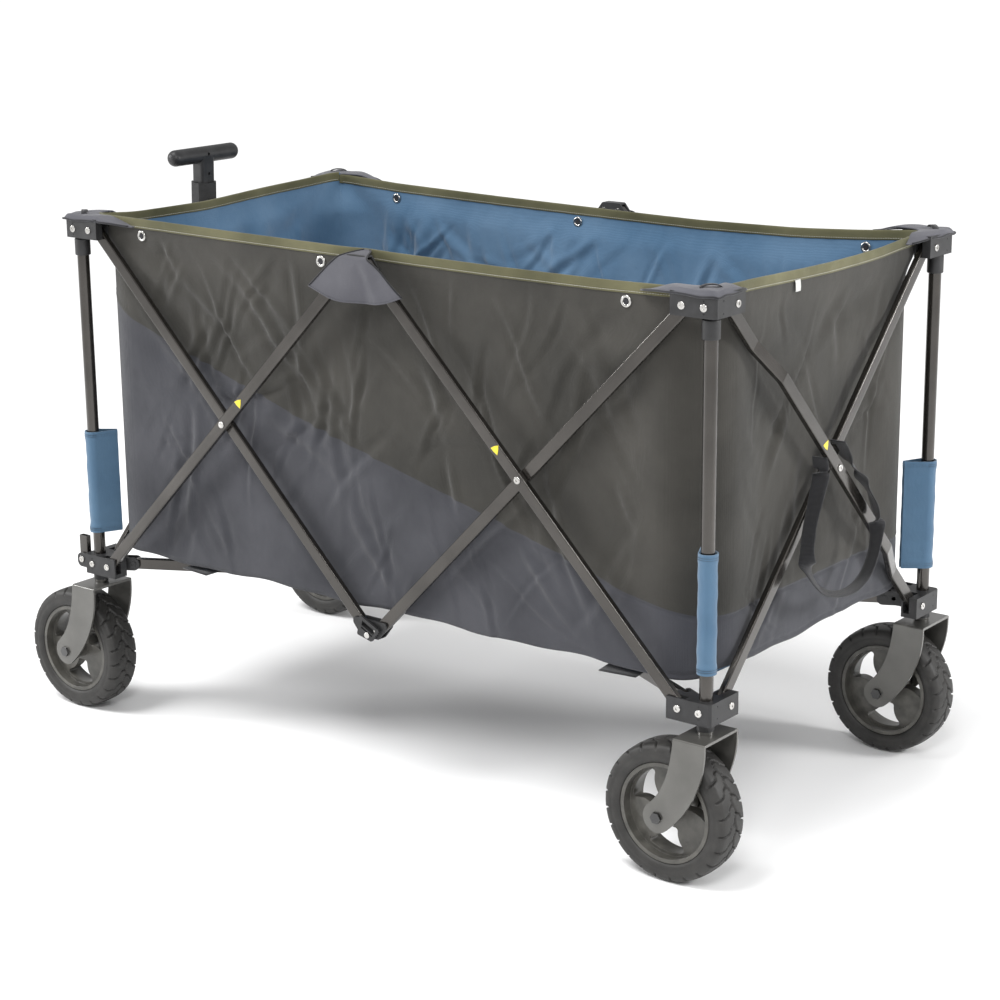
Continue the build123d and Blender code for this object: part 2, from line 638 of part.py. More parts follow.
def handle_grip():
    """The T grip: a round bar on a neck, with two screw recesses."""
    bar_height = grip_rise
    bar_radius, neck_radius = grip_diameter / 2, neck_diameter / 2
    bar = Pos(0, 0, bar_height) * along_minus_y(Cylinder(bar_radius, grip_length))
    bar = fillet(bar.edges().filter_by(GeomType.CIRCLE), bar_radius - 1.5)
    neck_low = handle_lock_rise + face_gap
    neck = block((-neck_radius + 2, neck_radius - 2), (-neck_radius, neck_radius), (neck_low, bar_height))
    neck = fillet(neck.edges().filter_by(Axis.Z), 6)
    body = bar + neck
    bore_top = bar_height - bar_radius
    body -= ring(handle_slider_diameter / 2 + seated_fit, 0, neck_low - 1, bore_top)
    for height in (bar_height + 2, neck_low + 14):
        depth = Pos(neck_radius, 0, height)
        body -= depth * along_x(Cylinder(2.6, 10))
    return [handle_place() * body]


# ---- Bag: five plain panels of one open-topped bag, and its straps ----
def bag_wall_panel(along_half, across_half, chamfered):
    """One upright wall in a face's frame, with its corner chamfers if it has them."""
    straight = along_half - bag_inset - bag_chamfer
    outer, inner = -bag_inset, -bag_inset - bag_wall
    if not chamfered:
        return block((-straight, straight), (bag_bottom, bag_top), (inner, outer))
    step = bag_chamfer
    thin = bag_wall * tan(radians(22.5))
    outside = [(-straight - step, outer - step), (-straight, outer), (straight, outer), (straight + step, outer - step)]
    inside = [(straight + step - bag_wall, outer - step), (straight - thin, inner)]
    inside += [(-straight + thin, inner), (-straight - step + bag_wall, outer - step)]
    plan = make_face(Polyline(*outside, *inside, close=True))
    wall = extrude(Plane.XZ * plan, amount=-(bag_top - bag_bottom))
    return Pos(0, bag_bottom, 0) * wall


def bag_floor():
    """The floor panel between the four walls."""
    x = half_length - bag_inset - bag_wall - 0.02
    y = half_width - bag_inset - bag_wall - 0.02
    cut = bag_chamfer
    points = [(x - cut, -y), (x, -y + cut), (x, y - cut), (x - cut, y)]
    points += [(-x + cut, y), (-x, y - cut), (-x, -y + cut), (-x + cut, -y)]
    floor = extrude(make_face(Polyline(*points, close=True)), amount=bag_floor_thickness)
    return [Pos(centre_x, 0, bag_bottom) * floor]


def floor_straps():
    """Two webbing straps across the underside of the bag."""
    reach = half_width - bag_inset - 1
    z_range = (bag_bottom - floor_strap_thickness, bag_bottom)
    half = floor_strap_width / 2
    return [block((x - half + centre_x, x + half + centre_x), (-reach, reach), z_range)
            for x in floor_strap_places]


def strap_loop():
    """The webbing loop on the rear crossing: sections along its path, joined by straight walls."""
    hidden = bent_layer - arm_thickness / 2 - face_gap - loop_thickness / 2
    # across the rear face, height, how far out, and how far the band is turned about its own run
    path = [(-38, 548, hidden, 0), (-34, 524, hidden, 0), (-50, 494, 14, 10), (-79, 447, 20, 28),
            (-92, 404, 28, 38), (-72, 370, 36, 30), (-36, 355, 41, 10), (10, 352, 43, -8),
            (48, 366, 42, -20), (74, 398, 40, -28), (83, 434, 37, -24), (72, 470, 34, -14),
            (57, 495, 27, -5), (47, 511, 25, 0), (38, 527, 14, 0), (26, 545, hidden, 0),
            (10, 562, hidden, 0)]
    sections = []
    for i, (y, z, n, twist) in enumerate(path):
        before, after = path[max(i - 1, 0)], path[min(i + 1, len(path) - 1)]
        run = Vector(after[0] - before[0], after[1] - before[1], after[2] - before[2]).normalized()
        flat = Vector(0, 0, 1).cross(run).normalized()
        section = Plane(origin=(y, z, n), x_dir=flat, z_dir=run)
        sections.append(section * Rot(0, 0, twist) * Rectangle(loop_width, loop_thickness))
    return [FACES["rear"] * loft(sections, ruled=True)]


def model():
    """Every node of the cart, as name: list of solids."""
    nodes = {}
    for name in CORNERS:
        nodes[f"lower_bracket_{name}"] = lower_bracket(name)
        nodes[f"post_{name}"] = post(name)
        nodes[f"upper_bracket_{name}"] = upper_bracket(name)
        nodes[f"slider_{name}"] = slider(name)
        nodes[f"floor_arm_{name}"] = floor_arm(name)
        nodes[f"fork_{name}"] = fork(name)
        nodes[f"rim_{name}"] = wheel_rim(name)
        nodes[f"tyre_{name}"] = tyre(name)
    for face in ("near", "far"):
        nodes.update(side_arms(face))
        top = centre_hinge(outer_layer, False)
        nodes[f"top_hinge_{face}"] = [FACES[face] * Pos(0, upper_pivot_height, 0) * s for s in top]
        bottom = centre_hinge(0, True) + hinge_cover()
        nodes[f"bottom_hinge_{face}"] = [FACES[face] * Pos(0, lower_pivot_height, 0) * s for s in bottom]
        nodes[f"bag_{face}_wall"] = [FACES[face] * bag_wall_panel(half_length, half_width, True)]
    for face in ("rear", "front"):
        nodes.update(end_arms(face))
        nodes[f"bag_{face}_wall"] = [FACES[face] * bag_wall_panel(half_width, half_length, False)]
    nodes["floor_hub"] = floor_hub()
    nodes["handle_yoke"] = handle_yoke()
    nodes["handle_outer_tube"] = handle_outer()
    nodes["handle_slider"] = handle_slider()
    nodes["handle_grip"] = handle_grip()
    nodes["bag_floor"] = bag_floor()
    nodes["floor_straps"] = floor_straps()
    nodes["strap_loop"] = strap_loop()
    return nodes


def main():
    """Write one STEP file for each node."""
    os.makedirs("parts", exist_ok=True)
    for name, solids in model().items():
        export_step(Compound(children=solids), f"parts/{name}.step")


if __name__ == "__main__":
    main()
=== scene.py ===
# %% [markdown]
# # A folding beach cart
# The cart stands on four wide wheels. Two scissor frames run along its sides and one crosses each
# end, and an open cloth bag hangs inside them. The frame comes from an exact model, so every piece
# made here is placed by that model's own numbers. All lengths are in metres, +Z is up, +X runs from
# the handle to the rear, and the origin is on the ground in the middle of the wheels.

# %% Load the exact model
import json
import math

import bmesh
import bpy
import numpy as np
from mathutils import Matrix, Vector

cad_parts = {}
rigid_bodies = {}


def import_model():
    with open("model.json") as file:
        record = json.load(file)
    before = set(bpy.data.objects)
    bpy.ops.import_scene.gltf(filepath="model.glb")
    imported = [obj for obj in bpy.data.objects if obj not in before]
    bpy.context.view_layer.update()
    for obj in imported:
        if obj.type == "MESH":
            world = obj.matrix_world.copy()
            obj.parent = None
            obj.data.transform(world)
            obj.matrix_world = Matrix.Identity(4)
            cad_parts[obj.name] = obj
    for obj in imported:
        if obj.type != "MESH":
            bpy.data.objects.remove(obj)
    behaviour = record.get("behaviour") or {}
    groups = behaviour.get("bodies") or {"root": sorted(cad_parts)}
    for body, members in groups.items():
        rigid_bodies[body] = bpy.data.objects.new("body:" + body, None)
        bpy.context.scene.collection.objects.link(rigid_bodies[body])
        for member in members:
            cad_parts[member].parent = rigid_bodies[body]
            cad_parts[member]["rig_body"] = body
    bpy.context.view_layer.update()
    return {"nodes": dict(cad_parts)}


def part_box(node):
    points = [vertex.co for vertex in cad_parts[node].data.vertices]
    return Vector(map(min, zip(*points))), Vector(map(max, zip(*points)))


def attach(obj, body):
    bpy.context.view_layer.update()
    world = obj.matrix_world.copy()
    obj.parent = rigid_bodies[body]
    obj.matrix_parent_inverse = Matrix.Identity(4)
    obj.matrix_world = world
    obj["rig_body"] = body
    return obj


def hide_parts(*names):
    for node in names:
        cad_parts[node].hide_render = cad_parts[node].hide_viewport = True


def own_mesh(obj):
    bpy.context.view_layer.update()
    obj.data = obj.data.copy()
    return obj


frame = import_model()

nodes = frame["nodes"]

# %% [markdown]
# ## Measures taken from the model
# The posts mark the corners, so the middle of the cart and its half sizes come from the boxes of
# two posts. Each side of the cart gets its own flat frame, in millimetres: u runs along the side to
# the right as seen from outside, z is height, and n stands outwards from the plane of the posts.
# Working in these three numbers keeps every later shape the same on all four sides.

# %% Sides and corners
MM = 0.001
COLLAR_BOTTOM = 757.0
CORNERS = {"rear_near": (1, -1), "rear_far": (1, 1), "front_far": (-1, 1), "front_near": (-1, -1)}


def middle_of(node):
    """The middle of a node's box, in metres."""
    low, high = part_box(node)
    return (low + high) / 2


first, opposite = middle_of("post_rear_near"), middle_of("post_front_far")
centre_x = (first.x + opposite.x) / 2 / MM
half_length = (first.x - opposite.x) / 2 / MM
half_width = (opposite.y - first.y) / 2 / MM
INSET = 10.45
print("half length", round(half_length, 1), "half width", round(half_width, 1), "middle", round(centre_x, 1))


def on_side(side, u, n, z):
    """Points of a side's own frame, in mm, as points of the cart in metres.
    near: (cx + u, -hw - n, z); far: (cx - u, hw + n, z); rear: (cx + hl + n, u, z);
    front: (cx - hl - n, -u, z)."""
    u, n, z = np.broadcast_arrays(np.asarray(u, float), np.asarray(n, float), np.asarray(z, float))
    x, y = {
        "near": (centre_x + u, -half_width - n),
        "far": (centre_x - u, half_width + n),
        "rear": (centre_x + half_length + n, u),
        "front": (centre_x - half_length - n, -u),
    }[side]
    return np.stack([x, y, z], -1) * MM


def smooth_step(t):
    """0 below 0, 1 above 1, and 3t^2 - 2t^3 between them."""
    t = np.clip(t, 0.0, 1.0)
    return t * t * (3 - 2 * t)


# %% [markdown]
# ## Surfaces from grids
# Every new piece is a grid of points, worked out as one array. Neighbouring points of the grid make
# four-sided faces. A grid may close on itself along either direction, as a tube does, and a closed
# tube may get flat caps. One function turns such an array into a mesh.

# %% Grid to mesh
def add_object(name, mesh):
    """Link a mesh to the scene as an object at the origin."""
    made = bpy.data.objects.new(name, mesh)
    bpy.context.scene.collection.objects.link(made)
    return made


def grid_faces(rows, columns, wrap_rows=False, wrap_columns=False, start=0):
    """Corner numbers of the quads of a rows x columns grid: (i, j), (i+1, j), (i+1, j+1), (i, j+1)."""
    i = np.arange(rows if wrap_rows else rows - 1)
    j = np.arange(columns if wrap_columns else columns - 1)
    i, j = (a.ravel() for a in np.meshgrid(i, j, indexing="ij"))
    i2, j2 = (i + 1) % rows, (j + 1) % columns
    return start + np.stack([i * columns + j, i2 * columns + j, i2 * columns + j2, i * columns + j2], -1)


def make_surface(name, points, wrap_rows=False, wrap_columns=False, caps=False, material_of=None, smooth=True):
    """A mesh object from a grid of points shaped (rows, columns, 3), in metres.
    caps closes the first and last row with one face each, for a grid whose columns wrap.
    material_of gives a material number for each quad, as an array."""
    rows, columns, _ = points.shape
    quads = grid_faces(rows, columns, wrap_rows, wrap_columns)
    faces = [tuple(q) for q in quads.tolist()]
    if caps:
        faces.append(tuple(range(columns))[::-1])
        faces.append(tuple(range((rows - 1) * columns, rows * columns)))
    mesh = bpy.data.meshes.new(name)
    mesh.from_pydata(points.reshape(-1, 3).tolist(), [], faces)
    if material_of is not None:
        numbers = np.zeros(len(faces), np.int32)
        numbers[: len(quads)] = material_of.ravel()
        mesh.polygons.foreach_set("material_index", numbers)
    mesh.polygons.foreach_set("use_smooth", np.full(len(faces), smooth))
    mesh.update()
    return add_object(name, mesh)


def point_outwards(thing):
    """Recalculate a closed mesh's normals so that they all point out of it."""
    work = bmesh.new()
    work.from_mesh(thing.data)
    bmesh.ops.remove_doubles(work, verts=work.verts, dist=1e-7)
    bmesh.ops.recalc_face_normals(work, faces=work.faces)
    work.to_mesh(thing.data)
    work.free()
    return thing


def give(thing, *materials):
    """Put materials in an object's slots, in order."""
    for material in materials:
        thing.data.materials.append(material)
    return thing


# %% [markdown]
# ## Materials
# Each finish is a small node tree. Colours sit on the shader or come from a ramp over noise; the
# height of weave, grain and dents goes through a Bump node. Everything reads Object coordinates,
# which don't move, because each object stays at the origin with its place in its mesh.

# %% Material helper
def new_finish(name, colour, roughness=0.5, metallic=0.0, coat=0.0, sheen=0.0, specular=0.5):
    """A Principled material with its plain numbers set, and (material, nodes, links, shader)."""
    material = bpy.data.materials.new(name)
    material.use_nodes = True
    tree = material.node_tree
    shader = tree.nodes["Principled BSDF"]
    shader.inputs["Base Color"].default_value = (*colour, 1)
    shader.inputs["Roughness"].default_value = roughness
    shader.inputs["Metallic"].default_value = metallic
    shader.inputs["Coat Weight"].default_value = coat
    shader.inputs["Sheen Weight"].default_value = sheen
    shader.inputs["Specular IOR Level"].default_value = specular
    return material, tree.nodes, tree.links, shader


def place_texture(nodes_, links, kind, scale, detail=2.0, stretch=(1, 1, 1), turn=(0, 0, 0)):
    """A noise, wave or Voronoi texture on Object coordinates, stretched and turned by a Mapping node."""
    where = nodes_.new("ShaderNodeTexCoord")
    mapping = nodes_.new("ShaderNodeMapping")
    mapping.inputs["Scale"].default_value = stretch
    mapping.inputs["Rotation"].default_value = turn
    texture = nodes_.new(kind)
    texture.inputs["Scale"].default_value = scale
    if "Detail" in texture.inputs:
        texture.inputs["Detail"].default_value = detail
    links.new(where.outputs["Object"], mapping.inputs["Vector"])
    links.new(mapping.outputs["Vector"], texture.inputs["Vector"])
    return texture


def vary_colour(nodes_, links, shader, texture, dark, light, low=0.3, high=0.7):
    """Run a texture through a two-colour ramp into the base colour."""
    ramp = nodes_.new("ShaderNodeValToRGB")
    ramp.color_ramp.elements[0].position, ramp.color_ramp.elements[1].position = low, high
    ramp.color_ramp.elements[0].color, ramp.color_ramp.elements[1].color = (*dark, 1), (*light, 1)
    links.new(texture.outputs[0], ramp.inputs["Fac"])
    links.new(ramp.outputs["Color"], shader.inputs["Base Color"])
    return ramp


def raise_height(nodes_, links, shader, height, depth, strength=1.0, under=None):
    """Bump from a height output. depth is the height of 1, in metres."""
    bump = nodes_.new("ShaderNodeBump")
    bump.inputs["Distance"].default_value = depth
    bump.inputs["Strength"].default_value = strength
    links.new(height, bump.inputs["Height"])
    if under is not None:
        links.new(under.outputs["Normal"], bump.inputs["Normal"])
    links.new(bump.outputs["Normal"], shader.inputs["Normal"])
    return bump


def vary_roughness(nodes_, links, shader, texture, low, high):
    """Let a texture move the roughness between low and high."""
    spread = nodes_.new("ShaderNodeMapRange")
    spread.inputs["To Min"].default_value = low
    spread.inputs["To Max"].default_value = high
    links.new(texture.outputs[0], spread.inputs["Value"])
    links.new(spread.outputs["Result"], shader.inputs["Roughness"])


# %% [markdown]
# ### Cloth
# The bag is polyester: a plain weave so fine that it shows as a slight grain, with soft changes of
# tone. Two wave textures at right angles, one over the other, give the
# weave, and a large noise moves the colour a little.

# %% Cloth finishes
def woven_cloth(name, dark, light, thread=0.0011, roughness=0.85, sheen=0.15, height=0.00012):
    """Cloth whose weave is max(warp, weft) of two waves, thread metres apart, with mottled colour."""
    material, nodes_, links, shader = new_finish(name, light, roughness, sheen=sheen, specular=0.25)
    tone = place_texture(nodes_, links, "ShaderNodeTexNoise", 7.0, 6.0)
    vary_colour(nodes_, links, shader, tone, dark, light, 0.3, 0.72)
    waves = []
    for turn in ((0, 0, 0), (0, math.pi / 2, 0), (0, 0, math.pi / 2)):
        wave = place_texture(nodes_, links, "ShaderNodeTexWave", 1 / thread / 3.2, turn=turn)
        wave.inputs["Distortion"].default_value = 0.6
        waves.append(wave)
    both = nodes_.new("ShaderNodeMath")
    both.operation = "MAXIMUM"
    links.new(waves[0].outputs["Fac"], both.inputs[0])
    links.new(waves[1].outputs["Fac"], both.inputs[1])
    all_three = nodes_.new("ShaderNodeMath")
    all_three.operation = "ADD"
    links.new(both.outputs[0], all_three.inputs[0])
    links.new(waves[2].outputs["Fac"], all_three.inputs[1])
    pucker = place_texture(nodes_, links, "ShaderNodeTexNoise", 38.0, 4.0)
    soft = raise_height(nodes_, links, shader, pucker.outputs["Fac"], 0.0016, 0.8)
    raise_height(nodes_, links, shader, all_three.outputs[0], height, 0.8, soft)
    return material


olive_cloth = woven_cloth("olive_brown_cloth", (0.022, 0.021, 0.018), (0.050, 0.047, 0.041))
slate_cloth = woven_cloth("slate_cloth", (0.030, 0.031, 0.037), (0.058, 0.059, 0.068))
blue_cloth = woven_cloth("blue_lining_cloth", (0.055, 0.125, 0.215), (0.120, 0.210, 0.320), sheen=0.25)
sleeve_cloth = woven_cloth("blue_sleeve_cloth", (0.060, 0.120, 0.195), (0.090, 0.165, 0.250), sheen=0.25)
patch_cloth = woven_cloth("grey_violet_cloth", (0.060, 0.060, 0.071), (0.115, 0.115, 0.130), thread=0.0018)
binding_tape = woven_cloth("khaki_binding_tape", (0.058, 0.056, 0.026), (0.140, 0.132, 0.070), thread=0.0016)
piping = woven_cloth("black_piping", (0.012, 0.012, 0.014), (0.030, 0.030, 0.034), thread=0.0014)
pale_thread = new_finish("pale_thread", (0.42, 0.41, 0.36), 0.7, sheen=0.3)[0]
dark_thread = new_finish("dark_thread", (0.035, 0.05, 0.075), 0.8, sheen=0.2)[0]

# %% [markdown]
# ### Webbing
# Webbing is thicker and woven in ribs across its width. Its ribs follow the strap, so they read the
# strap's own UV map: U runs along it in metres and V across it.

# %% Webbing finish
def ribbed_webbing(name, colour, rib=0.0017):
    """Black webbing with a rib every rib metres along its UV map. The thin welt at both edges is in the strap's
    section, not in this finish.
    """
    material, nodes_, links, shader = new_finish(name, colour, 0.78, sheen=0.2, specular=0.3)
    uv = nodes_.new("ShaderNodeUVMap")
    wave = nodes_.new("ShaderNodeTexWave")
    wave.inputs["Scale"].default_value = 1 / rib / 3.2
    links.new(uv.outputs["UV"], wave.inputs["Vector"])
    # Painted highlight and painted shade: the colour follows the rib height, lighter on the crests and darker in the
    # grooves.
    ramp = vary_colour(nodes_, links, shader, wave, [c * 0.6 for c in colour], [c * 1.7 for c in colour], 0.1, 0.9)
    ramp.color_ramp.interpolation = "EASE"
    raise_height(nodes_, links, shader, wave.outputs["Fac"], 0.0004, 0.9)
    return material


black_webbing = ribbed_webbing("black_webbing", (0.020, 0.020, 0.022))

# %% [markdown]
# ### Hard finishes
# The tubes and forks have a satin, slightly metallic brown-grey paint. The brackets are black
# moulded plastic with a fine grain. Rivets and screws are bright zinc. The rims are moulded in a
# grey-brown plastic, and the tyres are black rubber that greys slightly where it is worn.

# %% Paint, plastic, steel and rubber
def satin_paint(name, dark, light, roughness, metallic=0.55):
    """Metallic paint: noise moves its tone, and a very fine noise gives the spray's texture."""
    material, nodes_, links, shader = new_finish(name, light, roughness, metallic, coat=0.6)
    shader.inputs["Coat Roughness"].default_value = 0.14
    tone = place_texture(nodes_, links, "ShaderNodeTexNoise", 14.0, 5.0)
    vary_colour(nodes_, links, shader, tone, dark, light)
    vary_roughness(nodes_, links, shader, tone, roughness - 0.07, roughness + 0.1)
    grain = place_texture(nodes_, links, "ShaderNodeTexNoise", 1400.0, 2.0)
    raise_height(nodes_, links, shader, grain.outputs["Fac"], 0.00006, 0.5)
    return material


def moulded_plastic(name, colour, roughness, grain_scale=900.0, depth=0.00014):
    """Moulded plastic with a leathered grain from a Voronoi texture, and faint scuffs."""
    material, nodes_, links, shader = new_finish(name, colour, roughness, specular=0.45)
    scuffs = place_texture(nodes_, links, "ShaderNodeTexNoise", 60.0, 8.0)
    vary_colour(nodes_, links, shader, scuffs, [c * 0.75 for c in colour], [c * 1.5 for c in colour], 0.35, 0.75)
    vary_roughness(nodes_, links, shader, scuffs, roughness - 0.08, roughness + 0.12)
    grain = place_texture(nodes_, links, "ShaderNodeTexVoronoi", grain_scale)
    raise_height(nodes_, links, shader, grain.outputs["Distance"], depth, 0.6)
    return material


frame_paint = satin_paint("brown_grey_paint", (0.038, 0.034, 0.030), (0.064, 0.058, 0.052), 0.22, 0.8)
fork_paint = satin_paint("grey_fork_paint", (0.085, 0.083, 0.076), (0.130, 0.127, 0.118), 0.32, 0.5)
black_paint = satin_paint("black_tube_paint", (0.018, 0.018, 0.019), (0.032, 0.032, 0.034), 0.35, 0.2)
black_plastic = moulded_plastic("black_moulded_plastic", (0.019, 0.019, 0.020), 0.42)
rough_plastic = moulded_plastic("rough_black_plastic", (0.020, 0.020, 0.021), 0.6, 420.0, 0.0006)
grip_plastic = moulded_plastic("soft_grip_plastic", (0.018, 0.018, 0.019), 0.42, 1500.0, 0.00008)
rim_plastic = moulded_plastic("grey_brown_rim_plastic", (0.075, 0.072, 0.064), 0.3, 1200.0, 0.00008)
rubber = moulded_plastic("black_rubber", (0.022, 0.021, 0.0195), 0.5, 700.0, 0.0002)
bright_zinc = satin_paint("bright_zinc", (0.40, 0.39, 0.37), (0.62, 0.61, 0.59), 0.22, 1.0)
dark_steel = satin_paint("dark_steel", (0.045, 0.045, 0.046), (0.10, 0.10, 0.10), 0.28, 0.9)
sticker_yellow = new_finish("yellow_sticker", (0.72, 0.58, 0.02), 0.35, coat=0.4)[0]
label_white = new_finish("white_label", (0.55, 0.55, 0.53), 0.7)[0]

# %% [markdown]
# ## The exact pieces, softened
# The model's own solids have the right shapes, but they arrive as loose triangles with sharp edges.
# A copy of each is merged, its flat triangles are joined back into whole faces, and a small Bevel
# gives every edge the little highlight that a moulded or pressed edge has. The copy stands for the
# original. A node may hold several solids, such as a bracket and its rivets, and each solid gets
# its own finish by its size.

# %% Dress a node
def solids_of(work):
    """The separate closed pieces of a bmesh, as lists of faces."""
    left, found = set(work.faces), []
    while left:
        reach = [left.pop()]
        piece = list(reach)
        while reach:
            grown = {f for v in reach.pop().verts for f in v.link_faces} & left
            left -= grown
            reach += grown
            piece += grown
        found.append(piece)
    return found


def dress(node, choose, materials, bevel=0.0006, angle=32.0):
    """Stand a softened copy in for a node. choose(size, middle) gives the material number of a
    solid from its box, in mm, and the bevel is in metres."""
    copy = nodes[node].data.copy()
    copy.materials.clear()
    work = bmesh.new()
    work.from_mesh(copy)
    bmesh.ops.remove_doubles(work, verts=work.verts, dist=2e-6)
    for piece in solids_of(work):
        spots = np.array([v.co for f in piece for v in f.verts]) / MM
        low, high = spots.min(0), spots.max(0)
        number = choose(np.sort(high - low), (low + high) / 2)
        for face in piece:
            face.material_index = number
            face.smooth = True
    bmesh.ops.dissolve_limit(work, angle_limit=math.radians(0.6), verts=work.verts, edges=work.edges,
                             delimit={"MATERIAL"})
    work.to_mesh(copy)
    work.free()
    for name in [a.name for a in copy.attributes if a.name in ("custom_normal", "sharp_edge", "sharp_face")]:
        copy.attributes.remove(copy.attributes[name])
    copy.set_sharp_from_angle(angle=math.radians(angle))
    made = give(add_object(node + ".dressed", copy), *materials)
    if bevel:
        soft = made.modifiers.new("soft edges", "BEVEL")
        soft.width = bevel
        soft.segments = 2
        soft.limit_method = "ANGLE"
        soft.angle_limit = math.radians(angle)
        soft.harden_normals = True
    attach(made, nodes[node]["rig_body"])
    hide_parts(node)
    return made


def small_is_metal(size, middle):
    """Number 1 for a rivet or screw, whose two smaller sides are under 13 mm, and 0 for the rest."""
    return 1 if size[1] < 13 and size[2] < 60 else 0


# %% [markdown]
# ### Frame
# Arms and posts are painted tube. On the front lower brackets a short upright tube is held by its
# own rivet, and it is the only solid in a bracket that is tall, thin and not round, so its size
# picks it out.

# %% Dress the frame
def bracket_finish(size, middle):
    """0 for the moulded body, 1 for rivets and screws, 2 for the short upright tube."""
    if size[0] > 9 and size[1] < 20 and 40 < size[2] < 60:
        return 2
    return small_is_metal(size, middle)


for corner in CORNERS:
    dress(f"lower_bracket_{corner}", bracket_finish, (black_plastic, bright_zinc, frame_paint), 0.0009)
    dress(f"upper_bracket_{corner}", bracket_finish, (black_plastic, bright_zinc, frame_paint), 0.0009)
    post = dress(f"post_{corner}", lambda size, middle: 0, (frame_paint, black_plastic), 0.0004)
    # The collar joins the tube along its inner edge, so its faces are told by their height.
    for face in post.data.polygons:
        face.material_index = int(face.center.z / MM > COLLAR_BOTTOM)
    dress(f"slider_{corner}", lambda size, middle: 0, (frame_paint,), 0.0003)
    dress(f"floor_arm_{corner}", lambda size, middle: 0, (frame_paint,), 0.0003)
for name in sorted(nodes):
    if name.startswith("arm_"):
        dress(name, small_is_metal, (frame_paint, bright_zinc), 0.0011)
    elif "hinge" in name or name == "floor_hub":
        dress(name, small_is_metal, (black_plastic, bright_zinc), 0.0009)
print("frame dressed")

# %% [markdown]
# ### Forks
# A fork is one pressed plate: a crown folded down into two swept blades. Its bolt, nuts and kingpin
# are steel, and the spacers beside the hub are plastic.

# %% Dress the forks
def fork_finish(size, middle):
    """0 plate, 1 steel (kingpin, bolt), 2 spacers: short rings 18 mm across."""
    if size[2] > 95:
        return 0
    return 2 if size[2] < 20 and size[0] < 5 and size[1] > 16 and middle[2] < 150 else 1


for corner in CORNERS:
    dress(f"fork_{corner}", fork_finish, (fork_paint, dark_steel, black_plastic), 0.0013)

# %% [markdown]
# ### Handle
# The grip is moulded in one piece round the sliding tube, with two screws sunk into it. The lock
# collar is eight-sided with a rough surface for the hand.

# %% Dress the handle
def handle_finish(size, middle):
    """0 tube, 1 lock collar, 2 pivot plug and spacers."""
    if size[2] > 100:
        return 0
    return 1 if size[0] > 35 else 2


dress("handle_outer_tube", handle_finish, (black_paint, rough_plastic, black_plastic), 0.0012)
dress("handle_slider", lambda size, middle: 0 if size[2] > 100 else 1, (black_paint, black_plastic), 0.0004)
dress("handle_yoke", small_is_metal, (black_paint, bright_zinc), 0.0007)
dress("handle_grip", lambda size, middle: 0, (grip_plastic,), 0.0012)

# %% [markdown]
# ## Wheels
# ### Tyre
# The tyre is a turned section with blocks. Round the tread, thin grooves step back and forth across
# the width, so that the blocks of one half sit between those of the other, and the shoulders have a
# notch at each groove. The surface is a grid of angle by section, and the groove depth is taken off
# along the section's own normal.

# %% Tyre
wheel_radius = 100.0
tyre_half = 28.0


def section_of_tyre(count):
    """The tyre's section as radius and side, in mm, evenly spaced along its length:
    bead, sidewall, rounded shoulder, crowned tread, and the same back."""
    half = np.array([(72.3, 20.0), (72.3, 24.5), (76.0, 27.0), (80.0, 28.0), (87.0, 28.0), (91.5, 27.4),
                     (95.2, 25.6), (97.7, 22.5), (98.9, 17.5), (99.6, 10.0), (100.0, 0.0)])
    whole = np.concatenate([half, half[-2::-1] * [1, -1]])
    run = np.concatenate([[0], np.cumsum(np.linalg.norm(np.diff(whole, axis=0), axis=1))])
    want = np.linspace(0, run[-1], count)
    return np.interp(want, run, whole[:, 0]), np.interp(want, run, whole[:, 1])


def tyre_points(count_round=600, count_section=66, blocks=24):
    """Points (around, section, 3) about the axle along Y. A groove is where the angle lies within
    its half width of a stepped line: line(side) = step + slant * side, one line for each block."""
    radius, side = section_of_tyre(count_section)
    angle = np.linspace(0, 2 * np.pi, count_round, endpoint=False)
    pitch = 2 * np.pi / blocks
    normal = np.stack([np.gradient(side), -np.gradient(radius)], -1)
    normal /= np.linalg.norm(normal, axis=1)[:, None]
    across = side / tyre_half
    stepped = np.where(across > 0, 0.5, 0.0) + 0.34 * np.abs(across) + 0.16 * np.tanh(14 * (np.abs(across) - 0.42))
    phase = (angle[:, None] / pitch + stepped[None, :]) % 1.0
    distance = np.minimum(phase, 1 - phase) * pitch * wheel_radius
    groove = 1 - smooth_step((distance - 1.1) / 0.7)
    tread = smooth_step((radius - 89.0) / 5.0)
    middle = 1 - smooth_step((np.abs(side[None, :] + 2.2 * np.sin(angle[:, None] * blocks)) - 0.8) / 0.9)
    depth = 3.6 * np.maximum(groove, middle * 0.85) * tread[None, :]
    ring = 0.7 * np.exp(-((radius - 85.0) / 1.1) ** 2)
    depth = depth + ring[None, :]
    r = radius[None, :] + normal[None, :, 0] * -depth * np.sign(normal[None, :, 0])
    r = np.where(np.abs(normal[None, :, 0]) > 0.3, r, radius[None, :])
    y = side[None, :] - np.sign(side[None, :]) * depth * np.abs(normal[None, :, 1]) * (np.abs(side[None, :]) > 12)
    return np.stack([r * np.cos(angle)[:, None], y + 0 * r, r * np.sin(angle)[:, None]], -1)


tyre_shape = tyre_points()


def wheel_middle(corner):
    """The wheel's middle on its axle, in mm."""
    return np.array(middle_of(f"tyre_{corner}")) / MM


for corner in CORNERS:
    points = (tyre_shape + wheel_middle(corner)) * MM
    tyre = give(point_outwards(make_surface(f"treaded_tyre_{corner}", points, True, True)), rubber)
    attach(tyre, f"wheel_{corner}")
    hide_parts(f"tyre_{corner}")
print("tyre faces", len(tyre.data.polygons))

# %% [markdown]
# ### Rim
# The rim is one moulding: a barrel with a rolled lip at each side, a hub, and three broad spokes
# with curved openings between them. Its openings are exact in the model, so it is only softened.

# %% Dress the rims
for corner in CORNERS:
    dress(f"rim_{corner}", lambda size, middle: 0, (rim_plastic,), 0.0009)
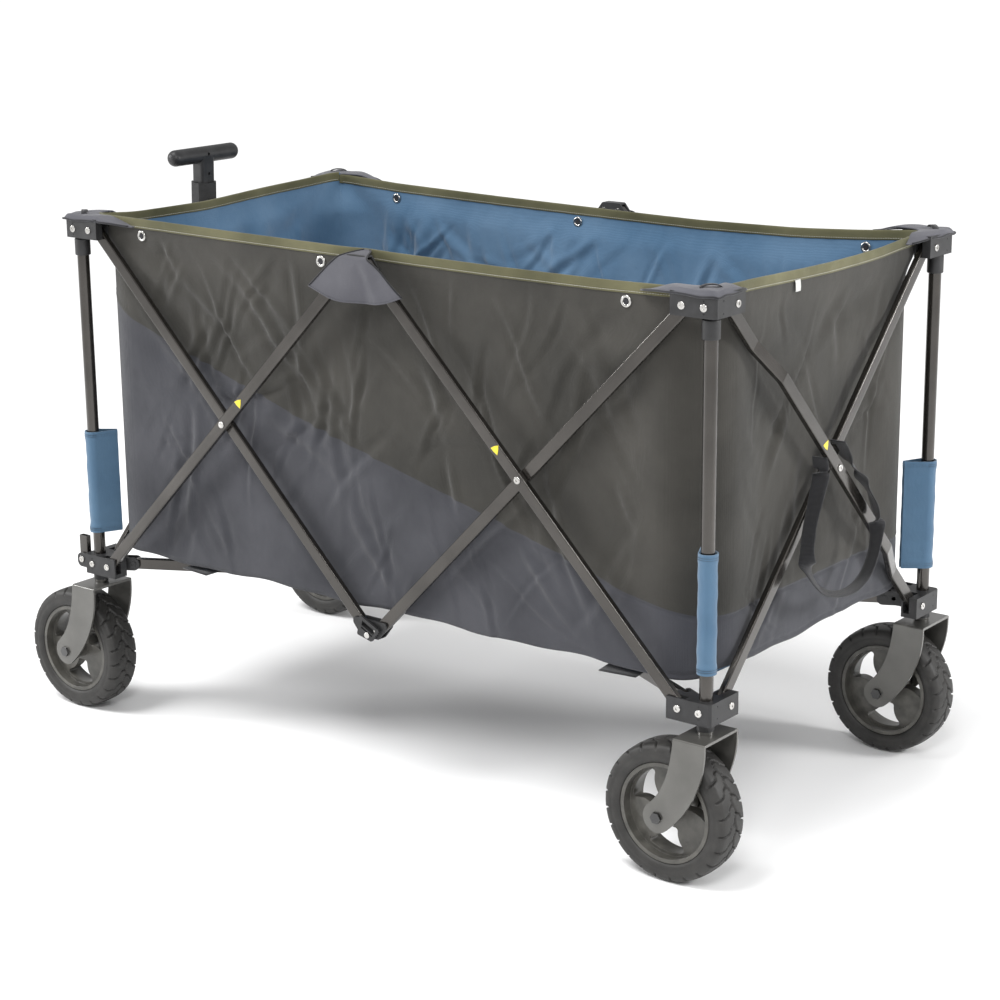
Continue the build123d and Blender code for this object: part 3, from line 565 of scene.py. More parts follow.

# %% [markdown]
# ## The bag
# The bag is one open-topped cloth shell. Its long and short walls meet in wide round corners, well
# inside the posts, and only its rim reaches out to the brackets. It is worked out wall by wall so
# that each wall can move with its own side of the cart, but one function gives the plan of all four,
# so that neighbours meet exactly.

# %% Plan and edges of the bag
def corner_radius(z):
    """The plan's corner radius in mm: tight at the rim, wide below it."""
    return 34 + 48 * smooth_step((808 - z) / 55)


def rim_height(side, u):
    """The height of the rim's top in mm, from its measured heights along each side."""
    along = {
        "near": ([-585, -477, -252, -30, 0, 30, 236, 403, 585], [822, 821, 818, 816, 818, 816, 814, 814, 818]),
        "far": ([-585, -464, -360, -180, -27, 217, 435, 585], [820, 810, 804, 801, 803, 807, 812, 820]),
        "rear": ([-303, -182, -68, 12, 95, 153, 303], [818, 816, 812, 810, 810, 811, 820]),
        "front": ([-303, -200, -100, 41, 200, 303], [824, 820, 817, 810, 812, 822]),
    }[side]
    return smooth_line(u, *along)


def smooth_line(u, knots, heights):
    """Values through given knots, eased by averaging nearby samples of the straight-line graph."""
    u = np.asarray(u, float)
    near_by = np.linspace(-45, 45, 13)
    weight = np.exp(-(near_by / 24) ** 2)
    samples = np.interp(u[..., None] + near_by, knots, heights)
    return (samples * weight).sum(-1) / weight.sum()


def hem_height(side, u):
    """The height of the bag's lower hem, in mm."""
    level = {"near": 281.0, "far": 281.0, "rear": 289.0, "front": 285.0}[side]
    return level + 2.2 * np.sin(np.asarray(u) / 47.0) + 1.2 * np.sin(np.asarray(u) / 19.0 + 1)


def seam_height(side, u):
    """The height of the seam between the upper cloth and the lower one, in mm: on the long sides it
    sweeps up from the rear to the front, and it meets the end walls' level seams at the corners."""
    if side in ("near", "far"):
        forward = u if side == "near" else -np.asarray(u)
        knots = [-585, -496, -301, -120, 58, 192, 300, 368, 435, 568, 600]
        return smooth_line(forward, knots, [698, 664, 594, 540, 493, 457, 430, 412, 390, 369, 366])
    level = 367.0 if side == "rear" else 698.0
    return level + 0 * np.asarray(u, float)


WALLS = {"near": half_length, "far": half_length, "rear": half_width, "front": half_width}

# %% [markdown]
# Slack cloth shows creases that run between its fixed points. Each crease is a short soft fold: the
# height falls off along it and across it as a bell curve, and it is odd across its line, so that one
# side is lifted and the other is sunk. A seeded random generator strews them, most of them along the
# two diagonals of the scissor frame, and a low slack wave lies under them.

# %% Creases
def crease_field(side, count, depth, seed):
    """A function of u and z, in mm, that sums seeded creases. Crease k adds
    depth_k * (b / w) * exp(-(a / l)^2 - (b / w)^2), where a and b run along and across it."""
    dice = np.random.default_rng(seed)
    half = WALLS[side]
    spot_u = dice.uniform(-half * 0.97, half * 0.97, count)
    spot_z = dice.uniform(285, 800, count)
    lean = np.where(dice.random(count) < 0.5, 1, -1) * np.radians(dice.normal(57, 17, count))
    length = dice.uniform(28, 120, count)
    width = dice.uniform(4.5, 13, count)
    lift = depth * dice.uniform(0.35, 1.0, count) * np.sign(dice.normal(0, 1, count))

    def field(u, z):
        total = np.zeros(np.broadcast(u, z).shape)
        for k in range(count):
            a = (u - spot_u[k]) * np.cos(lean[k]) + (z - spot_z[k]) * np.sin(lean[k])
            b = -(u - spot_u[k]) * np.sin(lean[k]) + (z - spot_z[k]) * np.cos(lean[k])
            b = b + 6 * np.sin(a / 37 + k)
            total += lift[k] * (b / width[k]) * np.exp(-(a / length[k]) ** 2 - (b / width[k]) ** 2) * 2.3
        return total

    return field


def tension_folds(side, u, z):
    """Shallow folds that fan out from the two upper corners of a wall, where its weight hangs:
    sin(17 angle + r / 90) * exp(-((r - 170) / 120)^2) about each corner."""
    total = 0
    for end in (-1, 1):
        along, down = WALLS[side] - end * u, 818 - z
        r, angle = np.hypot(along, down), np.arctan2(down, along)
        total = total + 4.2 * np.sin(17 * angle + 2 * end + r / 90) * np.exp(-((r - 170) / 120) ** 2)
    return total


def loose_lining(side, u, z):
    """Long upright folds in the lining, deepest at the front end of the cart."""
    centre, width = {"near": (-430, 110), "far": (430, 130), "front": (0, 260), "rear": (0, 1)}[side]
    wave = np.sin(u / 19 + z / 170 + 1.6 * np.sin(u / 61)) + 0.5 * np.sin(u / 9.5 - z / 130)
    return 6.5 * wave * np.exp(-((u - centre) / width) ** 2)


def wall_points(side, count_u=300, rows_low=36, rows_high=40):
    """The wall's outer and inner surfaces as one closed strip: (u, 2 * rows, 3). The rows climb the
    outside from hem to rim and come down the inside. Row heights follow the hem, the seam and the
    rim, so the seam lies along a row."""
    half = WALLS[side]
    reach = half - INSET
    u = np.linspace(-reach, reach, count_u)
    low, seam, high = hem_height(side, u), seam_height(side, u), rim_height(side, u)
    rise = np.concatenate([np.linspace(0, 1, rows_low, endpoint=False), np.linspace(1, 2, rows_high)])
    lower = low[:, None] + (seam - low)[:, None] * np.clip(rise, 0, 1)[None, :]
    z = lower + (high - seam)[:, None] * np.clip(rise - 1, 0, 1)[None, :]
    radius = corner_radius(z)
    past = np.clip((np.abs(u)[:, None] - (reach - radius)) / radius, 0, 1)
    turn = past * np.pi / 4
    along = np.where(past > 0, np.sign(u)[:, None] * (reach - radius + radius * np.sin(turn)), u[:, None])
    inward = radius * (1 - np.cos(turn))
    flat = smooth_step((reach - radius - np.abs(u)[:, None]) / 70)
    share = np.clip((z - low[:, None]) / (high - low)[:, None], 0, 1)
    held = np.sin(np.pi * np.clip(share, 0.02, 0.985)) ** 0.6 * smooth_step((0.975 - share) / 0.08)
    seeds = {"near": 11, "far": 23, "rear": 37, "front": 41}
    outside = crease_field(side, 120 if half > 400 else 64, 5.0, seeds[side])(u[:, None], z)
    outside = outside + tension_folds(side, u[:, None], z)
    inside = crease_field(side, 150 if half > 400 else 76, 8.0, seeds[side] + 5)(u[:, None], z)
    inside = inside + tension_folds(side, u[:, None], z) + loose_lining(side, u[:, None], z)
    inside = inside * smooth_step((0.95 - share) / 0.12)
    slack = 8.0 * (1 - (u / reach) ** 4)[:, None] * held
    slack = slack + 2.2 * np.sin(u[:, None] / 61 + z / 95) * held
    above_seam = z - seam[:, None]
    seam_line = 1.3 * np.exp(-((above_seam - 2) / 2.4) ** 2) - 1.4 * np.exp(-((above_seam + 4) / 2.4) ** 2)
    hem_roll = 1.1 * np.exp(-((z - low[:, None] - 7) / 2.5) ** 2) * -1
    out = -INSET - inward - (slack - outside * held * 0.9) * flat + seam_line + hem_roll
    out = np.minimum(out, -7.6)
    within = -INSET - inward - (slack + 6.0 - inside * held) * flat - 3.0 * (1 - flat)
    within = np.minimum(within, out - 2.2)
    top = smooth_step((share - 0.89) / 0.08)
    within = within * (1 - top) + (out - 2.0) * top
    outer = on_side(side, along, out, z)
    inner = on_side(side, along, within, z)
    return np.concatenate([outer, inner[:, ::-1]], axis=1), rows_low, rows_high


# %% [markdown]
# The rows below the seam are slate cloth outside, the rows above it olive, and the whole inside is
# blue. The strip closes on itself over the rim and under the hem, and its two ends are closed where
# it meets the next wall.

# %% Bag walls
wall_body = {"near": "top_hinge_near", "far": "top_hinge_far", "rear": "upper_rear_near", "front": "upper_front_near"}


def fold_with(piece, side):
    """The piece rides with its side's part of the frame, as one rigid piece: long sides with their top
    hinge, end walls with their near upper corner. It gets a mesh of its own."""
    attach(piece, wall_body[side])
    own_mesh(piece)
    return piece


walls = {}
for side in WALLS:
    points, rows_low, rows_high = wall_points(side)
    rows, columns, _ = points.shape
    which = np.ones((rows - 1, columns), int) * 2
    which[:, : rows_low] = 1
    which[:, rows_low: rows_low + rows_high - 1] = 0
    which[:, -1] = 1
    wall = make_surface(f"bag_{side}", points, False, True, caps=True, material_of=which)
    walls[side] = give(point_outwards(wall), olive_cloth, slate_cloth, blue_cloth)
    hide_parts(f"bag_{side}_wall")
    fold_with(wall, side)
    print(side, "wall faces", len(wall.data.polygons))

# %% [markdown]
# ### Floor
# The floor is a blue sheet over three stiff panels, so it can fold. Each panel goes with the part of
# the frame above it, and the panels overlap a little so that they can slide over each other.

# %% Bag floor
def panel_points(x_low, x_high, y_half, middle, count=60):
    """Top and bottom grids of one panel, in mm. Both share their edge, and ripple a little."""
    s = np.linspace(-1, 1, count)[:, None]
    t = np.linspace(-1, 1, count)[None, :]
    pull = 1 - 0.03 * (s * t) ** 8
    x = (x_low + x_high) / 2 + s * (x_high - x_low) / 2 * pull
    y = t * y_half * pull
    edge = (1 - s ** 8) * (1 - t ** 8)
    ripple = 0.8 * np.sin(x / 33 + 0.4 * np.sin(y / 50)) * np.sin(y / 41)
    return (np.stack([x, y, middle + (1.9 + ripple * 0.6) * edge], -1) * MM,
            np.stack([x, y, middle - 1.9 * edge], -1) * MM)


low, high = (np.array(p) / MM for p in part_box("bag_floor"))
FLOOR_INSET, FLOOR_LIFT, PANEL_LAP = 17.0, 6.0, 2.0
cuts = np.linspace(low[0] + FLOOR_INSET, high[0] - FLOOR_INSET, 4)
panel_bodies = ("upper_front_near", "top_hinge_near", "upper_rear_near")
for number, body in enumerate(panel_bodies):
    upper, under = panel_points(cuts[number] - PANEL_LAP, cuts[number + 1] + PANEL_LAP,
                                (high[1] - low[1]) / 2 - FLOOR_INSET, (low[2] + high[2]) / 2 + FLOOR_LIFT)
    panel = make_surface(f"bag_floor_panel_{number}", upper)
    below = make_surface("floor_under", under)
    with bpy.context.temp_override(active_object=panel, object=panel, selected_editable_objects=[panel, below]):
        bpy.ops.object.join()
    give(point_outwards(panel), blue_cloth, slate_cloth)
    faces_each = len(panel.data.polygons) // 2
    panel.data.polygons.foreach_set("material_index", np.repeat([0, 1], faces_each).astype(np.int32))
    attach(panel, body)
    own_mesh(panel)
    if body == "upper_rear_near":
        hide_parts("bag_floor")

# %% [markdown]
# ### Binding
# A folded khaki tape closes the rim. It is a narrow upside-down U carried along the rim's path: down
# the outside, over the top and down the inside. Two rows of stitches hold it, so the tape dips a
# little along each row.

# %% Binding
def rim_path(side, u, drop):
    """The plan position of the wall drop mm below the rim's top: (along, out) in the side's frame."""
    reach = WALLS[side] - INSET
    z = rim_height(side, u) - drop
    radius = corner_radius(z)
    past = np.clip((np.abs(u) - (reach - radius)) / radius, 0, 1)
    turn = past * np.pi / 4
    along = np.where(past > 0, np.sign(u) * (reach - radius + radius * np.sin(turn)), u)
    return along, -INSET - radius * (1 - np.cos(turn)), np.sign(u) * turn


def binding_points(side, height=14.0, count_u=260):
    """The tape's closed profile carried along the rim. Profile: outer face, round top, inner face,
    each standing 0.9 mm off the cloth; the direction across it turns with the corner."""
    u = np.linspace(-(WALLS[side] - INSET), WALLS[side] - INSET, count_u)
    across = np.array([1.0, 1.5, 1.25, 1.5, 1.5, 1.3, 0.7, -0.7, -2.2, -3.2, -3.6, -3.6, -3.3, -3.6, -3.0, -2.6, 0.6])
    down = np.array([14.0, 13.0, 11.2, 9.0, 4.0, 1.0, -0.4, -1.1, -1.1, -0.4, 1.0, 6.0, 11.2, 13.0, 14.0, 13.9, 13.9])
    along, out, turn = rim_path(side, u, 6.0)
    z = rim_height(side, u)[:, None] - down[None, :] * height / 14
    wander = 0.35 * np.sin(u / 8.0) * np.sin(u / 23.0 + 1)
    return on_side(side, along[:, None] + np.sin(turn)[:, None] * across, out[:, None] + wander[:, None]
                   + np.cos(turn)[:, None] * across, z)


for side in WALLS:
    band = make_surface(f"rim_binding_{side}", binding_points(side), False, True, caps=True)
    give(point_outwards(band), binding_tape)
    fold_with(band, side)

# %% [markdown]
# ### Stitches
# A row of stitches is a row of tiny bars. One bar is a small grid; all the bars of a row are
# made at once by adding each bar's place to the same shape.

# %% Stitch rows
def stitch_row(name, centres, directions, normals, length=2.6, thick=0.55, material=pale_thread):
    """Bars of given length along directions. Each bar is an 8-point box of 6 faces, standing half
    its thickness off the cloth. All arrays are (count, 3), in metres."""
    unit = directions / np.linalg.norm(directions, axis=1)[:, None]
    up = normals / np.linalg.norm(normals, axis=1)[:, None]
    wide = np.cross(unit, up)
    shape = np.array([(a, b, c) for a in (-0.5, 0.5) for b in (-0.5, 0.5) for c in (-0.5, 0.5)])
    shape = shape * [length * MM, thick * MM, thick * MM] * [1, 1, 1]
    taper = np.where(np.abs(shape[:, 2:3]) > 0, 1.0, 1.0)
    spots = (centres[:, None, :] + unit[:, None, :] * shape[None, :, 0:1] + wide[:, None, :] * shape[None, :, 1:2]
             + up[:, None, :] * shape[None, :, 2:3] * taper)
    box_faces = np.array([(0, 1, 3, 2), (4, 6, 7, 5), (0, 4, 5, 1), (2, 3, 7, 6), (0, 2, 6, 4), (1, 5, 7, 3)])
    faces = (np.arange(len(centres))[:, None, None] * 8 + box_faces[None]).reshape(-1, 4)
    mesh = bpy.data.meshes.new(name)
    mesh.from_pydata(spots.reshape(-1, 3).tolist(), [], faces.tolist())
    made = give(add_object(name, mesh), material)
    return point_outwards(made) if len(centres) < 2000 else made


def rim_stitches(side, face, drop, step=4.2):
    """Stitches along the rim tape, drop mm below its top; face is 1 outside and -1 inside."""
    reach = WALLS[side] - INSET - 6
    u = np.arange(-reach, reach, step)
    along, out, turn = rim_path(side, u, 6.0)
    off = 1.55 if face > 0 else -3.65
    z = rim_height(side, u) - drop
    spots = on_side(side, along + np.sin(turn) * off, out + np.cos(turn) * off, z)
    ahead = np.gradient(spots, axis=0)
    outward = on_side(side, np.sin(turn), np.cos(turn), 0 * u) - on_side(side, 0 * u, 0 * u, 0 * u)
    return spots, ahead, outward * face


for side in WALLS:
    rows = [rim_stitches(side, 1, 11.2), rim_stitches(side, -1, 11.2)]
    spots, ahead, outward = (np.concatenate(parts) for parts in zip(*rows))
    row = stitch_row(f"rim_stitches_{side}", spots, ahead, outward, material=pale_thread)
    fold_with(row, side)

# %% [markdown]
# ### Eyelets
# Bright eyelets pierce the wall just under the binding. Each is a ring with a rolled edge: a small
# circle carried round a larger one, once on the outside of the cloth and once inside.
# A flat black disc in the middle of each ring is painted shade for the dark hole.

# %% Eyelets
def ring_points(middle, outward, along, radius, wire, count=40, count_wire=12, squash_wire=0.75):
    """A torus: circle of radius round outward, with an elliptical wire. Points (count, wire, 3) in mm."""
    side_dir, out_dir = np.asarray(along, float), np.asarray(outward, float)
    up_dir = np.cross(out_dir, side_dir)
    a = np.linspace(0, 2 * np.pi, count, endpoint=False)[:, None, None]
    b = np.linspace(0, 2 * np.pi, count_wire, endpoint=False)[None, :, None]
    spoke = np.cos(a) * side_dir + np.sin(a) * up_dir
    return middle + spoke * (radius + wire * np.cos(b)) + out_dir * wire * squash_wire * np.sin(b)


def wall_offset(side, u, z, inner=False):
    """How far out the wall's surface lies at (u, z), read from the wall's own mesh."""
    spots = np.empty(len(walls[side].data.vertices) * 3)
    walls[side].data.vertices.foreach_get("co", spots)
    spots = spots.reshape(-1, 3) / MM
    su = {"near": spots[:, 0] - centre_x, "far": centre_x - spots[:, 0],
          "rear": spots[:, 1], "front": -spots[:, 1]}[side]
    sn = {"near": -half_width - spots[:, 1], "far": spots[:, 1] - half_width,
          "rear": spots[:, 0] - centre_x - half_length, "front": centre_x - half_length - spots[:, 0]}[side]
    near = np.hypot(su - u, spots[:, 2] - z) < 9
    return sn[near].min() if inner else sn[near].max()


SIDE_AXES = {"near": ((1, 0, 0), (0, -1, 0)), "far": ((-1, 0, 0), (0, 1, 0)),
             "rear": ((0, 1, 0), (1, 0, 0)), "front": ((0, -1, 0), (-1, 0, 0))}
EYELET_DROP = 25.0
eyelet_places = {"near": (-462, -92, 446), "far": (-477, 54, 440), "rear": (), "front": ()}
for side, places in eyelet_places.items():
    for number, u in enumerate(places):
        z = float(rim_height(side, np.array(u, float))) - EYELET_DROP
        along, outward = SIDE_AXES[side]
        made = []
        for inner in (False, True):
            n = wall_offset(side, u, z, inner) + (-0.6 if inner else 0.6)
            middle = on_side(side, u, n, z) / MM
            points = ring_points(middle, outward, along, 6.6, 2.1)
            made.append(point_outwards(make_surface("eyelet_part", points * MM, True, True)))
            # Painted shade: a flat black disc of piping cloth fills the ring's hole and stands for its dark opening.
            painted_hole_shade = ring_points(middle, outward, along, 2.3, 2.4, count_wire=8, squash_wire=0.3)
            made.append(point_outwards(make_surface("eyelet_part", painted_hole_shade * MM, True, True)))
        give(made[0], bright_zinc, piping)
        for k, part in enumerate(made[1:], 1):
            give(part, bright_zinc, piping)
            part.data.polygons.foreach_set("material_index", np.full(len(part.data.polygons), k % 2, np.int32))
        with bpy.context.temp_override(active_object=made[0], object=made[0], selected_editable_objects=made):
            bpy.ops.object.join()
        made[0].name = f"eyelet_{side}_{number}"
        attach(made[0], wall_body[side])
        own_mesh(made[0])

# %% [markdown]
# ### Centre flaps
# Over the top hinge of each long side hangs a soft grey flap. It starts at the rim, spreads out over
# the hinge and the two arms, and ends in a curved, folded lower edge. The grid runs down the flap
# and across it; its half width grows from the top to the corners, and it bulges outwards over the
# hinge. A thin black piping runs down both slanting edges.

# %% Centre flaps
def flap_points(side, count_down=44, count_across=60):
    """The flap's outer surface, a triangle from the rim down over the hinge. Down t from 0 to 1
    and across s from -1 to 1: half width = 5 + 82 t, and the bottom hangs lowest in the middle."""
    t = np.linspace(0, 1, count_down)[:, None]
    s = np.linspace(-1, 1, count_across)[None, :]
    half = 5 + 82 * t
    top = float(rim_height(side, np.array(0.0))) + 0.5
    bottom = 747 + 15 * s ** 2 + 1.2 * np.sin(s * 6 + 1)
    z = top - 1.5 * t + (bottom - top) * (0.35 * t + 0.65 * smooth_step((t - 0.1) / 1.3) / smooth_step(0.9 / 1.3))
    u = s * half
    fold = 1.6 * np.exp(-((u - half * 0.55) / 9) ** 2) - 1.3 * np.exp(-((u - half * 0.3) / 8) ** 2)
    fold = fold + 0.9 * np.sin(u / 13 + t * 3)
    out = -INSET + 3.4 + 33.5 * smooth_step(t * 3.4) + fold * smooth_step((t - 0.25) * 4) - 4.0 * (s ** 4) * t
    return on_side(side, u, out, z)


def tube_along(name, path, radius, count=10):
    """A round tube along a path of points in metres, with caps, framed by its tangent and a fixed
    up direction that is made perpendicular to it."""
    ahead = np.gradient(path, axis=0)
    ahead /= np.linalg.norm(ahead, axis=1)[:, None]
    up = np.array([0.31, 0.27, 0.91])
    side_dir = np.cross(ahead, up)
    side_dir /= np.linalg.norm(side_dir, axis=1)[:, None]
    third = np.cross(side_dir, ahead)
    a = np.linspace(0, 2 * np.pi, count, endpoint=False)[None, :, None]
    points = path[:, None, :] + radius * (np.cos(a) * side_dir[:, None, :] + np.sin(a) * third[:, None, :])
    return point_outwards(make_surface(name, points, False, True, caps=True))


def join_all(name, pieces):
    """Join objects into the first one and name it."""
    with bpy.context.temp_override(active_object=pieces[0], object=pieces[0], selected_editable_objects=pieces):
        bpy.ops.object.join()
    pieces[0].name = name
    return pieces[0]


for side in ("near", "far"):
    outer = flap_points(side)
    outward = np.array(SIDE_AXES[side][1]) * MM
    back = outer - outward * 1.6
    flap = make_surface(f"flap_{side}", np.concatenate([outer, back[:, ::-1]], axis=1), False, True, caps=True)
    give(point_outwards(flap), patch_cloth)
    edges = [tube_along("flap_edge", outer[:, k] + outward * 0.1, 0.0013) for k in (0, -1)]
    lower = tube_along("flap_edge", outer[-1] + outward * 0.1, 0.0011)
    for edge in edges:
        give(edge, piping)
    give(lower, patch_cloth)
    flap = join_all(f"centre_flap_{side}", [flap, lower, *edges])
    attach(flap, f"top_hinge_{side}")

# %% [markdown]
# ### Corner patches
# A padded grey patch covers the top of each upper bracket. In plan it follows the bag's corner on
# the inside and the bracket on the outside, and tapers to a point along both rims. The grid runs
# round the corner from tip to tip and across from the rim to the outer edge, which is piped and
# curls down over the bracket. A small arched loop of tape stands on it.

# %% Corner patches
def corner_points(corner, a, b, z):
    """Points given by distances a along X and b along Y inwards from a post, in mm, and height z."""
    sx, sy = CORNERS[corner]
    x = centre_x + sx * (half_length - a)
    y = sy * (half_width - b)
    return np.stack(np.broadcast_arrays(x, y, z), -1) * MM


def patch_outline(t, long_tip, short_tip, outer):
    """The inner or outer edge of a patch in (a, b), for t from 0 (tip on the long side) to 1 (tip on
    the short side). Both edges share their tips; the outer one swings out round the bracket."""
    t = np.asarray(t, float)
    if outer:
        knots = [0, 0.18, 0.36, 0.44, 0.5, 0.56, 0.66, 0.84, 1]
        a = smooth_knots(t, knots, [long_tip, 62, 4, -13, -20, -21.5, -21, -17, 0])
        b = smooth_knots(t, knots, [2, -17, -22, -22, -20, -13, 2, 48, short_tip])
    else:
        knots = [0, 0.25, 0.42, 0.5, 0.58, 0.75, 1]
        a = smooth_knots(t, knots, [long_tip, 62, 31, 22, 15, 13.0, 5])
        b = smooth_knots(t, knots, [7, 12.5, 14.5, 20, 29, 52, short_tip])
    return a, b


def smooth_knots(t, knots, values):
    """Values at knots with Catmull-Rom easing: cubic Hermite pieces whose slopes are the
    differences of the neighbouring knots."""
    knots, values = np.array(knots, float), np.array(values, float)
    slope = np.gradient(values, knots)
    k = np.clip(np.searchsorted(knots, t, side="right") - 1, 0, len(knots) - 2)
    width = knots[k + 1] - knots[k]
    x = (t - knots[k]) / width
    h00, h10 = 2 * x ** 3 - 3 * x ** 2 + 1, x ** 3 - 2 * x ** 2 + x
    h01, h11 = -2 * x ** 3 + 3 * x ** 2, x ** 3 - x ** 2
    return h00 * values[k] + h10 * width * slope[k] + h01 * values[k + 1] + h11 * width * slope[k + 1]


def patch_points(count_round=90, count_across=22):
    """Top surface of the patch, from its inner edge (v = 0) to its outer edge (v = 1): flat on the
    bracket, crowned by its padding, sinking to the rim's height at the tips."""
    t = np.linspace(0, 1, count_round)
    inner_a, inner_b = patch_outline(t, 112, 84, False)
    outer_a, outer_b = patch_outline(t, 112, 84, True)
    v = np.linspace(0, 1, count_across)[None, :]
    a = inner_a[:, None] * (1 - v) + outer_a[:, None] * v
    b = inner_b[:, None] * (1 - v) + outer_b[:, None] * v
    tip = smooth_step(np.minimum(t, 1 - t) / 0.27)[:, None]
    crown = 821.6 + 1.7 * np.sin(np.pi * v) * tip
    curl = -6.5 * smooth_step((v - 0.86) / 0.14) * tip
    wave = 0.8 * np.sin(t * 31)[:, None] * v * tip
    z = (810 + 0 * v) * (1 - tip) + (crown + curl + wave) * tip
    return a, b, z


for corner in CORNERS:
    a, b, z = patch_points()
    top = corner_points(corner, a, b, z)
    under_side = corner_points(corner, a, b, z - 1.7)
    patch = make_surface("patch", np.concatenate([top, under_side[:, ::-1]], axis=1), False, True, caps=True)
    give(point_outwards(patch), patch_cloth)
    rope = tube_along("patch_edge", top[2:-2, -1], 0.0014)
    give(rope, piping)
    arch = np.linspace(0, np.pi, 24)[:, None]
    wide = np.array([-4.5, -4.5, 4.5, 4.5])[None, :]
    thick = np.array([0.0, 1.1, 1.1, 0.0])[None, :]
    lift = 819.5 + (7.2 + thick) * np.sin(arch) ** 0.8
    run = -(15 + thick) * np.cos(arch)
    diagonal = np.sqrt(0.5)
    arch_a = 4 + run * diagonal + wide * diagonal
    arch_b = 4 - run * diagonal + wide * diagonal
    loop = make_surface("patch_loop", corner_points(corner, arch_a, arch_b, lift), False, True, caps=True)
    give(point_outwards(loop), piping)
    patch = join_all(f"corner_patch_{corner}", [patch, rope, loop])
    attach(patch, f"upper_{corner}")

# %% [markdown]
# ### Post sleeves
# A blue sleeve wraps the lower half of each post. It is one strip of cloth: it leaves the bag's
# corner, goes round the post and comes back to the corner, where the two layers lie together. In
# plan that is a drop shape. Its ends have doubled hems, so the strip is a little thicker there.

# %% Post sleeves
SLEEVE_LEAN = 50.0  # degrees from the long side to the way the tail of a sleeve points


def sleeve_plan(count=72, reach=38.0, radius=12.6, tail=3.0):
    """A drop shape about a post: a circle of given radius joined by straight tangents to a narrow
    tail reach mm away along +X of its own frame. Returns (count, 2) points in mm, open at the tail."""
    leave = np.arccos((radius - tail) / reach)
    turn = np.linspace(leave, 2 * np.pi - leave, count - 16)
    circle = np.stack([radius * np.cos(turn), radius * np.sin(turn)], -1)
    start = np.stack([np.linspace(reach, circle[0, 0], 8, endpoint=False),
                      np.linspace(tail, circle[0, 1], 8, endpoint=False)], -1)
    end = start[::-1] * [1, -1]
    return np.concatenate([start, circle, end])


def sleeve_points(corner, z_low=305.0, z_high=472.0, rows=60):
    """The strip's outer and inner faces, closed over its edges. It is taken round the post in plan
    and up it in z; the hems at both ends stand 0.5 mm proud, and it bulges in soft rings."""
    plan = sleeve_plan()
    z = np.linspace(0, 1, rows)[None, :]
    ahead = np.gradient(plan, axis=0)
    ahead /= np.linalg.norm(ahead, axis=1)[:, None]
    normal = np.stack([ahead[:, 1], -ahead[:, 0]], -1)
    hem = 0.45 * (smooth_step((0.075 - np.minimum(z, 1 - z)) / 0.01))
    loose = 0.5 * np.sin(z * 19 + np.linspace(0, 5, len(plan))[:, None]) + 0.35 * np.sin(z * 41)
    faces = []
    for off in (0.6, -0.6):
        lift = off + (hem if off > 0 else 0) + loose * 0.6
        a = plan[:, 0:1] + normal[:, 0:1] * lift
        b = plan[:, 1:2] + normal[:, 1:2] * lift
        faces.append((a, b))
    height = z_low + (z_high - z_low) * z + 0 * faces[0][0]
    lean = np.radians(SLEEVE_LEAN)
    made = []
    for a, b in faces:
        x = a * np.cos(lean) - b * np.sin(lean)
        y = a * np.sin(lean) + b * np.cos(lean)
        made.append(corner_points(corner, x, y, height))
    return np.concatenate([made[0], made[1][:, ::-1]], axis=1)


for corner in CORNERS:
    sleeve = make_surface(f"post_sleeve_{corner}", sleeve_points(corner), False, True, caps=True)
    give(point_outwards(sleeve), sleeve_cloth)
    sleeve.data.set_sharp_from_angle(angle=math.radians(60))
    rows = []
    for height in (309.5, 312.5, 464.5, 467.5):
        plan = sleeve_plan(120)
        ahead = np.gradient(plan, axis=0)
        ahead /= np.linalg.norm(ahead, axis=1)[:, None]
        normal = np.stack([ahead[:, 1], -ahead[:, 0]], -1)
        spots = plan + normal * 1.5
        lean = math.radians(SLEEVE_LEAN)
        turned_by = np.array([[math.cos(lean), math.sin(lean)], [-math.sin(lean), math.cos(lean)]])
        at = spots @ turned_by
        out = (spots + normal) @ turned_by
        here = corner_points(corner, at[:, 0], at[:, 1], height)
        rows.append((here, np.gradient(here, axis=0), corner_points(corner, out[:, 0], out[:, 1], height) - here))
    spots, ahead, outward = (np.concatenate(parts) for parts in zip(*rows))
    thread = stitch_row("sleeve_thread", spots, ahead, outward, 1.3, 0.4, dark_thread)
    sleeve = join_all(f"post_sleeve_{corner}", [sleeve, thread])
    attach(sleeve, f"corner_{corner}")

# %% [markdown]
# ### Webbing
# The rear loop is a flat strap carried along a smooth path. At each point the strap has a direction
# across its width, so it can turn from lying against the arms to hanging on edge. Its path goes
# through the same points as the model's own band, eased into a curve.

# %% Rear strap
def strap_points(path, twist, width, thick, outward, count=180):
    """A flat closed band along Catmull-Rom easing of path (mm). Its flat direction is perpendicular
    to the run and to outward, then turned about the run by twist degrees. Returns points and run."""
    path = np.array(path, float)
    run = np.concatenate([[0], np.cumsum(np.linalg.norm(np.diff(path, axis=0), axis=1))])
    want = np.linspace(0, run[-1], count)
    line = np.stack([smooth_knots(want, run, path[:, k]) for k in range(3)], -1)
    bend = np.radians(smooth_knots(want, run, twist))[:, None]
    ahead = np.gradient(line, axis=0)
    ahead /= np.linalg.norm(ahead, axis=1)[:, None]
    flat = np.cross(np.broadcast_to(outward, ahead.shape), ahead)
    flat /= np.linalg.norm(flat, axis=1)[:, None]
    face = np.cross(ahead, flat)
    wide, up = flat * np.cos(bend) + face * np.sin(bend), face * np.cos(bend) - flat * np.sin(bend)
    rim_w = np.array([-1, -0.93, -0.5, 0, 0.5, 0.93, 1, 0.93, 0.5, 0, -0.5, -0.93]) * width / 2
    rim_t = np.array([0, 1.12, 0.9, 0.9, 0.9, 1.12, 0, -1.12, -0.9, -0.9, -0.9, -1.12]) * thick / 2
    points = line[:, None, :] + wide[:, None, :] * rim_w[None, :, None] + up[:, None, :] * rim_t[None, :, None]
    return points * MM, want


